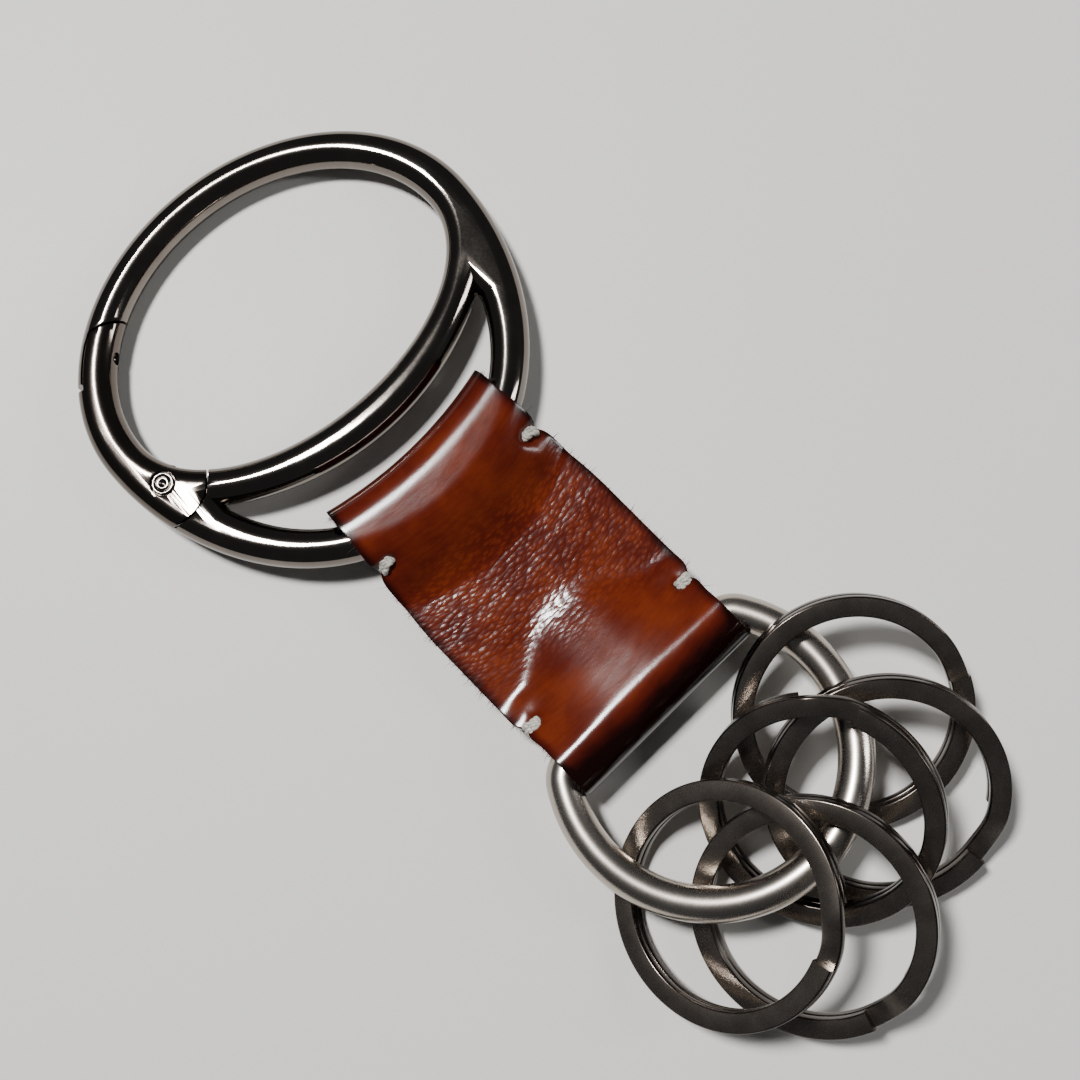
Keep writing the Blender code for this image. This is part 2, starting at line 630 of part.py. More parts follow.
def centre_footprint(base):
    """Slide the assembly so that the middle of its footprint stands on the origin."""
    bpy.context.view_layer.update()
    graph = bpy.context.evaluated_depsgraph_get()
    corners = []
    for thing in bpy.context.scene.objects:
        if thing.type in {"MESH", "CURVE"} and not thing.hide_render:
            solid = thing.evaluated_get(graph)
            mesh = solid.to_mesh()
            corners += [solid.matrix_world @ vert.co for vert in mesh.vertices]
            solid.to_mesh_clear()
    low = [min(corner[axis] for corner in corners) for axis in range(3)]
    high = [max(corner[axis] for corner in corners) for axis in range(3)]
    base.location = (-(low[0] + high[0]) / 2, -(low[1] + high[1]) / 2, -low[2])


def main():
    """Build every piece, then centre the organiser's footprint on the origin."""
    clear_scene()
    black_nickel = Finish("black_nickel", (0.045, 0.042, 0.042), 0.12, 1.0)
    dark_satin = Finish("dark_satin_nickel", (0.16, 0.15, 0.145), 0.30, 1.0)
    band_nickel = Finish("split_ring_nickel", (0.12, 0.105, 0.095), 0.25, 1.0)
    satin_nickel = Finish("satin_nickel", (0.42, 0.40, 0.38), 0.28, 1.0)
    steel = Finish("spring_steel", (0.50, 0.50, 0.50), 0.30, 1.0)
    leather = Finish("cognac_leather", (0.26, 0.055, 0.018), 0.32, 0.0)
    thread = Finish("waxed_thread", (0.42, 0.40, 0.36), 0.60, 0.0)

    base = add_empty("organiser")
    build_gate_ring(base, black_nickel, dark_satin, steel)
    hinge = add_empty("strap_hinge", base, (SWING_X, 0, LOOP_Z))
    strap_home = add_empty("strap_home", hinge, (-SWING_X, 0, 0))
    build_strap(leather, thread, strap_home)
    dee_hinge = add_empty("dee_ring_hinge", strap_home, (DEE_X, 0, DEE_Z - LOOP_Z))
    dee_plane = build_dee_ring(satin_nickel, dee_hinge)
    build_split_rings(band_nickel, dee_plane)
    centre_footprint(base)


main()
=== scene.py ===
"""Looks of a pocket key organiser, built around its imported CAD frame.

The CAD gives every place and axis. This script makes the finely rounded metal, the grained and
stitched leather strap, the procedural finishes, a plain studio and the camera. Sizes are in
millimetres and are turned to metres where a mesh is finished.
"""
from __future__ import annotations

import json
import logging
import math
import random
from collections.abc import Sequence
from dataclasses import dataclass, field
from enum import Enum
from typing import Any

import bmesh
import bpy
from mathutils import Matrix, Quaternion, Vector, noise
from mathutils.geometry import interpolate_bezier


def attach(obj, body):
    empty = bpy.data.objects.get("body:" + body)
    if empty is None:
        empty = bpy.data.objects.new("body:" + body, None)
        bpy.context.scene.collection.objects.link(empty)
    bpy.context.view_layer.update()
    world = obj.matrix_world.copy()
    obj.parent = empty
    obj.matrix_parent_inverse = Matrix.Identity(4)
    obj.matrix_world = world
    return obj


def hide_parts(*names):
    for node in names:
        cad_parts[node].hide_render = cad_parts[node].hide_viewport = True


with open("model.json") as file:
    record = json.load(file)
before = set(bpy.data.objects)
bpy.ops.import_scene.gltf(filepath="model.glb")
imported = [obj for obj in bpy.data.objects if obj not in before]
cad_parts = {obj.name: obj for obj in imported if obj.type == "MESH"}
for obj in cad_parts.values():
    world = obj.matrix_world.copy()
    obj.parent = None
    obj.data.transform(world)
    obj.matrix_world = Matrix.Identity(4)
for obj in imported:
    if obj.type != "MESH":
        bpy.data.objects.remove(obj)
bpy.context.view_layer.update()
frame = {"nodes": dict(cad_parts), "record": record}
LOG = logging.getLogger("key_organiser")
MM = 0.001
UP = Vector((0, 0, 1))
ALONG = Vector((1, 0, 0))


# ---- small shared tools ---------------------------------------------------------------------------

def srgb(code: str) -> tuple[float, float, float, float]:
    """Turn a hex colour into linear light.

    Args:
        code: An sRGB colour such as "#8a4218".

    Returns:
        Linear red, green, blue and an alpha of 1.
    """
    shares = [int(code[place:place + 2], 16) / 255 for place in (1, 3, 5)]
    red, green, blue = (s / 12.92 if s <= 0.04045 else ((s + 0.055) / 1.055) ** 2.4 for s in shares)
    return red, green, blue, 1.0


def ease(value: float) -> float:
    """Ease from 0 to 1, flat outside that range."""
    value = min(1.0, max(0.0, value))
    return value * value * (3 - 2 * value)


def climbed(x: float, start: float, over: float) -> float:
    """Return how far a slope of 1 has climbed by x, when it sets in over a distance from its start."""
    share = min(1.0, max(0.0, (x - start) / over))
    return over * (share ** 3 - share ** 4 / 2) + max(0.0, x - start - over)


def bump_at(distance: float, spread: float) -> float:
    """Return a bell-shaped weight, 1 at no distance."""
    return math.exp(-(distance / spread) ** 2)


def heading(angle: float, length: float = 1.0) -> Vector:
    """Return the point at an angle and distance in the XY plane."""
    return Vector((math.cos(angle), math.sin(angle), 0)) * length


def joint_at(name: str) -> tuple[Vector, Vector]:
    """Find a joint of the frame.

    Args:
        name: The joint's name in the record.

    Returns:
        The joint's position in millimetres and its axis.
    """
    found = next(joint for joint in frame["record"]["behaviour"]["joints"] if joint["name"] == name)
    return Vector(found["pos_m"]) / MM, Vector(found["axis"]).normalized()


def add_node(tree: bpy.types.NodeTree, kind: str, inputs: dict[str | int, Any] | None = None,
             **settings: Any) -> bpy.types.Node:
    """Add a shader node with its settings, constants and links.

    Args:
        tree: The node tree.
        kind: The node's type name.
        inputs: Values by socket name or index; a socket is linked, anything else is a constant.
        settings: The node's own properties.

    Returns:
        The new node.
    """
    node = tree.nodes.new(kind)
    for name, value in settings.items():
        setattr(node, name, value)
    for key, value in (inputs or {}).items():
        if isinstance(value, bpy.types.NodeSocket):
            tree.links.new(value, node.inputs[key])
        else:
            node.inputs[key].default_value = value
    return node


def colour_ramp(tree: bpy.types.NodeTree, factor: bpy.types.NodeSocket,
                stops: Sequence[tuple[float, str]]) -> bpy.types.NodeSocket:
    """Add a colour ramp of sRGB stops.

    Args:
        tree: The node tree.
        factor: What drives the ramp.
        stops: Places from 0 to 1 with their hex colours.

    Returns:
        The ramp's colour.
    """
    ramp = add_node(tree, "ShaderNodeValToRGB", {"Fac": factor})
    elements = ramp.color_ramp.elements
    while len(elements) < len(stops):
        elements.new(0.5)
    for element, (place, code) in zip(elements, stops):
        element.position = place
        element.color = srgb(code)
    return ramp.outputs["Color"]


def math_node(tree: bpy.types.NodeTree, operation: str, *values: Any) -> bpy.types.NodeSocket:
    """Add a Math node and return its result."""
    node = add_node(tree, "ShaderNodeMath", dict(enumerate(values)), operation=operation)
    return node.outputs[0]


def span(tree: bpy.types.NodeTree, value: bpy.types.NodeSocket, low: float, high: float,
         to_low: float, to_high: float) -> bpy.types.NodeSocket:
    """Map one range smoothly onto another with a clamped Map Range node."""
    node = add_node(tree, "ShaderNodeMapRange", {
        "Value": value, "From Min": low, "From Max": high, "To Min": to_low, "To Max": to_high},
        interpolation_type="SMOOTHSTEP")
    return node.outputs["Result"]


# ---- finishes -------------------------------------------------------------------------------------

@dataclass(frozen=True)
class PlatedMetal:
    """Nickel plate over a casting or wire, with fine wear that its gloss shows.

    Attributes:
        name: The material's name.
        tint: Colour of the plate's reflection.
        worn: Colour where the plate is rubbed.
        roughness: Mean roughness.
        spread: How far the roughness wanders.
        grain_mm: Spacing of the brushed or tumbled grain.
        relief_mm: Depth of that grain as it is drawn.
    """

    name: str
    tint: str
    worn: str
    roughness: float
    spread: float
    grain_mm: float
    relief_mm: float

    def build(self) -> bpy.types.Material:
        """Build the plate's material."""
        material, tree, shader, place = start_material(self.name)
        cloudy = add_node(tree, "ShaderNodeTexNoise", {
            "Vector": place, "Scale": 1 / (6 * MM), "Detail": 4.0, "Roughness": 0.6})
        grain = add_node(tree, "ShaderNodeTexNoise", {
            "Vector": place, "Scale": 1 / (self.grain_mm * MM), "Detail": 3.0})
        tone_mark = span(tree, cloudy.outputs["Fac"], 0.45, 0.75, 0.0, 1.0)
        colour = add_node(tree, "ShaderNodeMix", {0: tone_mark, 6: srgb(self.tint), 7: srgb(self.worn)},
                          data_type="RGBA")
        wander = math_node(tree, "MULTIPLY_ADD", grain.outputs["Fac"], self.spread,
                           self.roughness - self.spread / 2)
        rough = math_node(tree, "MULTIPLY_ADD", cloudy.outputs["Fac"], self.spread, wander)
        relief = add_node(tree, "ShaderNodeBump", {
            "Height": grain.outputs["Fac"], "Distance": self.relief_mm * MM, "Strength": 0.5})
        link_shader(tree, shader, colour.outputs[2], rough, relief.outputs[0])
        shader.inputs["Metallic"].default_value = 1.0
        return material


@dataclass(frozen=True)
class BandMetal:
    """Black nickel over rolled spring steel: grey-brown rolled faces, and rounded edges painted blacker
    as painted shade for the dark reflections they show.

    Attributes:
        name: The material's name.
        face: Colour of the rolled faces.
        edge: Colour of the rounded edges, painted shade for the dark reflections they show.
        roll_mm: Spacing of the rolling lines along the band.
    """

    name: str
    face: str
    edge: str
    roll_mm: float = 0.12

    def build(self) -> bpy.types.Material:
        """Build the band's material, which reads its own "flat" attribute."""
        material, tree, shader, place = start_material(self.name)
        flat = add_node(tree, "ShaderNodeAttribute", attribute_name="flat").outputs["Fac"]
        cloudy = add_node(tree, "ShaderNodeTexNoise", {
            "Vector": place, "Scale": 1 / (3.5 * MM), "Detail": 5.0, "Roughness": 0.65})
        speck = add_node(tree, "ShaderNodeTexNoise", {
            "Vector": place, "Scale": 1 / (self.roll_mm * MM), "Detail": 2.0})
        # The rounded edges take the edge colour, painted shade for their dark reflections; the flat
        # faces keep the face colour.
        faces_and_shaded_edges = add_node(tree, "ShaderNodeMix", {0: flat, 6: srgb(self.edge), 7: srgb(self.face)},
                         data_type="RGBA")
        shade = span(tree, cloudy.outputs["Fac"], 0.3, 0.7, 0.78, 1.12)
        colour = add_node(tree, "ShaderNodeMix", {0: 1.0, 6: faces_and_shaded_edges.outputs[2], 7: shade},
                          data_type="RGBA", blend_type="MULTIPLY")
        rough = math_node(tree, "MULTIPLY_ADD", flat, 0.10, 0.14)
        rough = math_node(tree, "MULTIPLY_ADD", speck.outputs["Fac"], 0.10, rough)
        relief = add_node(tree, "ShaderNodeBump", {
            "Height": speck.outputs["Fac"], "Distance": 0.002 * MM, "Strength": 0.5})
        link_shader(tree, shader, colour.outputs[2], rough, relief.outputs[0])
        shader.inputs["Metallic"].default_value = 1.0
        return material


@dataclass(frozen=True)
class GlazedLeather:
    """Glazed vegetable-tanned leather: a pebbled, creased middle and smooth folds, burnished and
    darkened with painted shade.

    Attributes:
        name: The material's name.
        dark: Colour at the burnished cut edges, and of the painted shade on the folds, the underside and
            round the stitch holes.
        body: Main colour.
        glow: Colour where the glaze is thin.
        pebble_mm: Size of the grain's pebbles.
        crease_mm: Spacing of the creases across the strap.
    """

    name: str
    dark: str
    body: str
    glow: str
    pebble_mm: float = 0.50
    crease_mm: float = 1.5

    def build(self) -> bpy.types.Material:
        """Build the glazed side, which reads the strap's UV map in metres and its attributes."""
        material, tree, shader, _place = start_material(self.name)
        along = add_node(tree, "ShaderNodeUVMap", uv_map="strap").outputs[0]
        worked = add_node(tree, "ShaderNodeAttribute", attribute_name="worked").outputs["Fac"]
        burnish_and_shade = add_node(tree, "ShaderNodeAttribute", attribute_name="burnish_and_shade").outputs["Fac"]
        turned = add_node(tree, "ShaderNodeMapping", {
            "Vector": along, "Rotation": (0, 0, math.radians(12)), "Scale": (1.0, 0.55, 1.0)})
        drift = add_node(tree, "ShaderNodeTexNoise", {
            "Vector": along, "Scale": 1 / (2.2 * MM), "Detail": 2.0})
        wander = vector_scale(tree, drift.outputs["Color"], 0.35 * MM)
        bent = add_node(tree, "ShaderNodeVectorMath", {0: turned.outputs[0], 1: wander}, operation="ADD")
        pebbles = add_node(tree, "ShaderNodeTexVoronoi", {
            "Vector": bent.outputs[0], "Scale": 1 / (self.pebble_mm * MM), "Randomness": 1.0,
            "Smoothness": 0.35}, feature="SMOOTH_F1")
        creases = add_node(tree, "ShaderNodeTexNoise", {
            "Vector": add_node(tree, "ShaderNodeMapping", {
                "Vector": bent.outputs[0], "Scale": (1.0, 0.30, 1.0)}).outputs[0],
            "Scale": 1 / (self.crease_mm * MM), "Detail": 5.0, "Roughness": 0.6})
        pores = add_node(tree, "ShaderNodeTexNoise", {
            "Vector": along, "Scale": 1 / (0.16 * MM), "Detail": 3.0, "Roughness": 0.7})
        dome = math_node(tree, "SUBTRACT", 1.0, pebbles.outputs["Distance"])
        folds = math_node(tree, "MULTIPLY_ADD", creases.outputs["Fac"], 0.6, dome)
        height = math_node(tree, "MULTIPLY", folds, math_node(tree, "MULTIPLY_ADD", worked, 0.95, 0.05))
        height = math_node(tree, "MULTIPLY_ADD", pores.outputs["Fac"], 0.10, height)
        relief = add_node(tree, "ShaderNodeBump", {
            "Height": height, "Distance": 0.045 * MM, "Strength": 0.8})

        patches = add_node(tree, "ShaderNodeTexNoise", {
            "Vector": along, "Scale": 1 / (9 * MM), "Detail": 4.0, "Roughness": 0.55})
        fibre = add_node(tree, "ShaderNodeTexNoise", {
            "Vector": add_node(tree, "ShaderNodeMapping", {
                "Vector": along, "Rotation": (0, 0, 0.25), "Scale": (1.0, 0.18, 1.0)}).outputs[0],
            "Scale": 1 / (0.5 * MM), "Detail": 4.0})
        cloud = span(tree, patches.outputs["Fac"], 0.3, 0.7, 0.34, 0.54)
        tone = math_node(tree, "MULTIPLY_ADD", fibre.outputs["Fac"], 0.16, cloud)
        # Darker at the burnished cut edges and where the rings rub the folds, and painted shade on the
        # folds' far faces, the layer beneath and round the stitch holes.
        tone = math_node(tree, "SUBTRACT", tone, math_node(tree, "MULTIPLY", burnish_and_shade, 0.72))
        # Painted shade in the pebbles' valleys and a faint painted highlight on their tops, across the
        # worked middle.
        grain_shade = span(tree, dome, 0.35, 0.8, -0.10, 0.04)
        tone = math_node(tree, "ADD", tone, math_node(tree, "MULTIPLY", grain_shade, worked))
        colour = colour_ramp(tree, tone, [(0.02, "#120403"), (0.18, self.dark), (0.42, self.body),
                                          (0.60, self.glow), (0.85, "#6c2b11")])
        rough = span(tree, creases.outputs["Fac"], 0.3, 0.7, 0.14, 0.19)
        rough = math_node(tree, "MULTIPLY_ADD", burnish_and_shade, -0.04, rough)
        link_shader(tree, shader, colour, rough, relief.outputs[0])
        shader.inputs["Specular IOR Level"].default_value = 0.32
        return material


@dataclass(frozen=True)
class FibrousHide:
    """The cut edge or the flesh side of the leather: matt, matted fibres, no glaze.

    Attributes:
        name: The material's name.
        low: Colour between the fibres.
        high: Colour of the fibres.
        fibre_mm: Length of the fibres that show.
        relief_mm: How far the fibres stand.
    """

    name: str
    low: str
    high: str
    fibre_mm: float
    relief_mm: float

    def build(self) -> bpy.types.Material:
        """Build the fibrous material."""
        material, tree, shader, place = start_material(self.name)
        mat = add_node(tree, "ShaderNodeTexNoise", {
            "Vector": place, "Scale": 1 / (self.fibre_mm * MM), "Detail": 8.0, "Roughness": 0.75,
            "Distortion": 1.5})
        colour = colour_ramp(tree, mat.outputs["Fac"], [(0.3, self.low), (0.7, self.high)])
        relief = add_node(tree, "ShaderNodeBump", {
            "Height": mat.outputs["Fac"], "Distance": self.relief_mm * MM, "Strength": 0.9})
        rough = span(tree, mat.outputs["Fac"], 0.2, 0.8, 0.72, 0.92)
        link_shader(tree, shader, colour, rough, relief.outputs[0])
        shader.inputs["Sheen Weight"].default_value = 0.15
        return material


@dataclass(frozen=True)
class WaxedThread:
    """Waxed linen thread: pale grey fibres, darker where the plies meet, a dull wax gloss.

    Attributes:
        name: The material's name.
        shade: Colour between the plies.
        light: Colour of the plies.
        twist_mm: Length of one fibre's turn.
    """

    name: str
    shade: str
    light: str
    twist_mm: float = 0.5

    def build(self) -> bpy.types.Material:
        """Build the thread's material."""
        material, tree, shader, place = start_material(self.name)
        fibres = add_node(tree, "ShaderNodeTexNoise", {
            "Vector": place, "Scale": 1 / (0.5 * self.twist_mm * MM), "Detail": 6.0, "Roughness": 0.7,
            "Distortion": 0.8})
        dirt = add_node(tree, "ShaderNodeTexNoise", {
            "Vector": place, "Scale": 1 / (1.1 * MM), "Detail": 2.0})
        tone = math_node(tree, "MULTIPLY_ADD", dirt.outputs["Fac"], 0.5, fibres.outputs["Fac"])
        colour = colour_ramp(tree, tone, [(0.45, self.shade), (0.95, self.light)])
        relief = add_node(tree, "ShaderNodeBump", {
            "Height": fibres.outputs["Fac"], "Distance": 0.05 * MM, "Strength": 0.7})
        link_shader(tree, shader, colour, span(tree, fibres.outputs["Fac"], 0.3, 0.7, 0.42, 0.62),
                    relief.outputs[0])
        shader.inputs["Sheen Weight"].default_value = 0.1
        return material


def start_material(name: str) -> tuple[bpy.types.Material, bpy.types.NodeTree, bpy.types.Node,
                                       bpy.types.NodeSocket]:
    """Start a material.

    Args:
        name: The material's name.

    Returns:
        The material, its tree, its shader node and the Object coordinates.
    """
    material = bpy.data.materials.new(name)
    material.use_nodes = True
    tree = material.node_tree
    shader = tree.nodes["Principled BSDF"]
    place = add_node(tree, "ShaderNodeTexCoord").outputs["Object"]
    return material, tree, shader, place


def link_shader(tree: bpy.types.NodeTree, shader: bpy.types.Node, colour: bpy.types.NodeSocket,
                rough: bpy.types.NodeSocket, normal: bpy.types.NodeSocket) -> None:
    """Link a colour, a roughness and a bumped normal to a shader."""
    tree.links.new(colour, shader.inputs["Base Color"])
    tree.links.new(rough, shader.inputs["Roughness"])
    tree.links.new(normal, shader.inputs["Normal"])


def vector_scale(tree: bpy.types.NodeTree, vector: bpy.types.NodeSocket,
                 by: float) -> bpy.types.NodeSocket:
    """Centre a noise colour on zero and scale it to a drift in metres."""
    centred = add_node(tree, "ShaderNodeVectorMath", {0: vector, 1: (0.5, 0.5, 0.5)},
                       operation="SUBTRACT")
    scaled = add_node(tree, "ShaderNodeVectorMath", {0: centred.outputs[0], 3: by}, operation="SCALE")
    return scaled.outputs[0]


class Finish(Enum):
    """Every finish on the organiser."""

    # Zinc casting, polished then black-nickel plated: near-mirror, dark, faintly warm.
    BLACK_NICKEL = PlatedMetal(
        "black nickel on polished zinc", "#77706a", "#857d75", 0.07, 0.04, 0.30, 0.001)
    # The gate is tumbled before plating, so its highlights are softer than the frame's.
    DARK_SATIN = PlatedMetal(
        "black nickel on tumbled zinc", "#665e58", "#776e66", 0.10, 0.05, 0.22, 0.0015)
    # Steel wire, brushed and nickel plated: bright, silky highlights with dark flanks.
    SATIN_NICKEL = PlatedMetal(
        "satin nickel on steel wire", "#b9b0a6", "#c2b9af", 0.22, 0.08, 0.18, 0.004)
    # Drawn spring wire, left bare: pale, with an even soft shine.
    SPRING_WIRE = PlatedMetal("drawn spring steel", "#b9b9b6", "#9c9a96", 0.28, 0.10, 0.15, 0.004)
    # Rolled flat wire: brushed grey-brown faces, and near-black edges that are painted shade.
    BAND = BandMetal("black nickel on rolled spring steel", "#aa9f94", "#4c4540")
    # Dyed and glazed hide: deep red-brown with sharp glints on its pebbles and folds.
    LEATHER = GlazedLeather("glazed vegetable-tanned leather", "#2a0905", "#4a150a", "#61240e")
    # The edge is dyed nearly black and has no shine.
    CUT_EDGE = FibrousHide("dyed cut leather edge", "#0d0403", "#2b110a", 0.35, 0.12)
    # The side against the metal is paler and suede-like.
    FLESH = FibrousHide("leather flesh side", "#3a1a0f", "#6a3a24", 0.6, 0.10)
    # Hairs pulled from the edge, dark against the floor.
    FUZZ = FibrousHide("loose leather fibres", "#160806", "#3a1c12", 0.3, 0.02)
    # Pale grey thread that stands out in its dark notch.
    THREAD = WaxedThread("waxed linen thread", "#57534c", "#c9c4ba")

    @property
    def material(self) -> bpy.types.Material:
        """The finish's material, built the first time it is asked for."""
        made = bpy.data.materials.get(self.value.name)
        return made or self.value.build()


# ---- mesh tools -----------------------------------------------------------------------------------

def mesh_from(name: str, bm: bmesh.types.BMesh) -> bpy.types.Mesh:
    """Write a bmesh to a new mesh and free it."""
    mesh = bpy.data.meshes.new(name)
    bm.to_mesh(mesh)
    bm.free()
    return mesh


def add_piece(name: str, mesh: bpy.types.Mesh, body: str, finishes: Sequence[Finish],
              replaced: Sequence[str] = (), smooth_deg: float = 180.0) -> bpy.types.Object:
    """Link a finished mesh as a piece of the organiser.

    Args:
        name: The piece's name.
        mesh: Its mesh, in metres and in place.
        body: The CAD body that it rides on.
        finishes: Its materials, in the order of its faces' material indices.
        replaced: The CAD nodes that it stands for.
        smooth_deg: Edges sharper than this stay sharp.

    Returns:
        The new object.
    """
    mesh.name = name
    for finish in finishes:
        mesh.materials.append(finish.material)
    if not mesh.has_custom_normals:
        mesh.shade_smooth()
    if smooth_deg < 180:
        mesh.set_sharp_from_angle(angle=math.radians(smooth_deg))
    piece = bpy.data.objects.new(name, mesh)
    bpy.context.scene.collection.objects.link(piece)
    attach(piece, body)
    if replaced:
        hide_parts(*replaced)
    LOG.info("%s: %d faces on body %s", name, len(mesh.polygons), body)
    return piece


def baked(thing: bpy.types.Object) -> bpy.types.Mesh:
    """Apply an object's modifiers, return the mesh and remove the object."""
    bpy.context.scene.collection.objects.link(thing)
    graph = bpy.context.evaluated_depsgraph_get()
    mesh = bpy.data.meshes.new_from_object(thing.evaluated_get(graph))
    bpy.data.objects.remove(thing, do_unlink=True)
    return mesh


def carve(mesh: bpy.types.Mesh, steps: Sequence[tuple[str, bpy.types.Mesh]]) -> bpy.types.Mesh:
    """Apply a row of exact Booleans.

    Args:
        mesh: The mesh that is carved.
        steps: Pairs of an operation and the closed mesh that it uses.

    Returns:
        The carved mesh.
    """
    for operation, tool_mesh in steps:
        work = bpy.data.objects.new("work", mesh)
        tool = bpy.data.objects.new("tool", tool_mesh)
        bpy.context.scene.collection.objects.link(tool)
        boolean = work.modifiers.new("carve", "BOOLEAN")
        boolean.operation = operation
        boolean.solver = "EXACT"
        boolean.object = tool
        mesh = baked(work)
        bpy.data.objects.remove(tool, do_unlink=True)
    return mesh


def soften(mesh: bpy.types.Mesh, width: float, over_deg: float = 38.0) -> bpy.types.Mesh:
    """Round a carved mesh's crisp edges a little, so that they catch the light.

    Args:
        mesh: The mesh, in millimetres.
        width: Width of the rounding, in millimetres.
        over_deg: Only edges that turn by more than this are rounded.

    Returns:
        The same mesh.
    """
    bm = bmesh.new()
    bm.from_mesh(mesh)
    bmesh.ops.dissolve_degenerate(bm, edges=bm.edges, dist=1e-3)
    crisp = [edge for edge in bm.edges
             if len(edge.link_faces) == 2 and edge.calc_face_angle() > math.radians(over_deg)]
    bmesh.ops.bevel(bm, geom=crisp, offset=width, segments=2, profile=0.5, affect="EDGES",
                    clamp_overlap=True, material=-1)
    bm.to_mesh(mesh)
    bm.free()
    return mesh


def settle(mesh: bpy.types.Mesh, sharp_deg: float) -> bpy.types.Mesh:
    """Shade a carved mesh by its larger faces, so that flats stay flat up to their rounded edges.

    Args:
        mesh: The mesh.
        sharp_deg: Edges sharper than this stay sharp.

    Returns:
        A mesh with those normals.
    """
    mesh.shade_smooth()
    mesh.set_sharp_from_angle(angle=math.radians(sharp_deg))
    thing = bpy.data.objects.new("settle", mesh)
    weighted = thing.modifiers.new("by area", "WEIGHTED_NORMAL")
    weighted.mode = "FACE_AREA"
    weighted.weight = 80
    weighted.keep_sharp = True
    return baked(thing)


def prism(outline: Sequence[Vector], low: float, high: float) -> bpy.types.Mesh:
    """Extrude a closed outline between two heights."""
    bm = bmesh.new()
    face = bm.faces.new([bm.verts.new((point.x, point.y, low)) for point in outline])
    lifted = bmesh.ops.extrude_face_region(bm, geom=[face])
    top = [item for item in lifted["geom"] if isinstance(item, bmesh.types.BMVert)]
    bmesh.ops.translate(bm, verts=top, vec=(0, 0, high - low))
    bmesh.ops.recalc_face_normals(bm, faces=bm.faces)
    return mesh_from("prism", bm)


def turned(profile: Sequence[tuple[float, float]], steps: int = 64) -> bpy.types.Mesh:
    """Turn (radius, height) points, from the axis out and back to it, about Z."""
    bm = bmesh.new()
    verts = [bm.verts.new((radius, 0, height)) for radius, height in profile]
    edges = [bm.edges.new(pair) for pair in zip(verts, verts[1:])]
    bmesh.ops.spin(bm, geom=verts + edges, axis=UP, cent=(0, 0, 0), steps=steps, angle=math.tau,
                   use_merge=True)
    bmesh.ops.remove_doubles(bm, verts=bm.verts, dist=1e-4)
    bmesh.ops.recalc_face_normals(bm, faces=bm.faces)
    return mesh_from("turned", bm)


def wire(path: Sequence[Vector], radius: float, sides: int, closed: bool) -> bpy.types.Mesh:
    """Sweep a round wire along a path of points with a bevelled curve.

    Args:
        path: The wire's centre line.
        radius: The wire's radius.
        sides: Bevel resolution of its section.
        closed: Whether the wire joins itself.

    Returns:
        The wire's mesh.
    """
    curve = bpy.data.curves.new("wire", "CURVE")
    curve.dimensions = "3D"
    spline = curve.splines.new("POLY")
    spline.points.add(len(path) - 1)
    for point, place in zip(spline.points, path):
        point.co = (*place, 1)
    spline.use_cyclic_u = closed
    curve.bevel_depth = radius
    curve.bevel_resolution = sides
    curve.use_fill_caps = not closed
    return baked(bpy.data.objects.new("wire", curve))


# ---- gate ring ------------------------------------------------------------------------------------

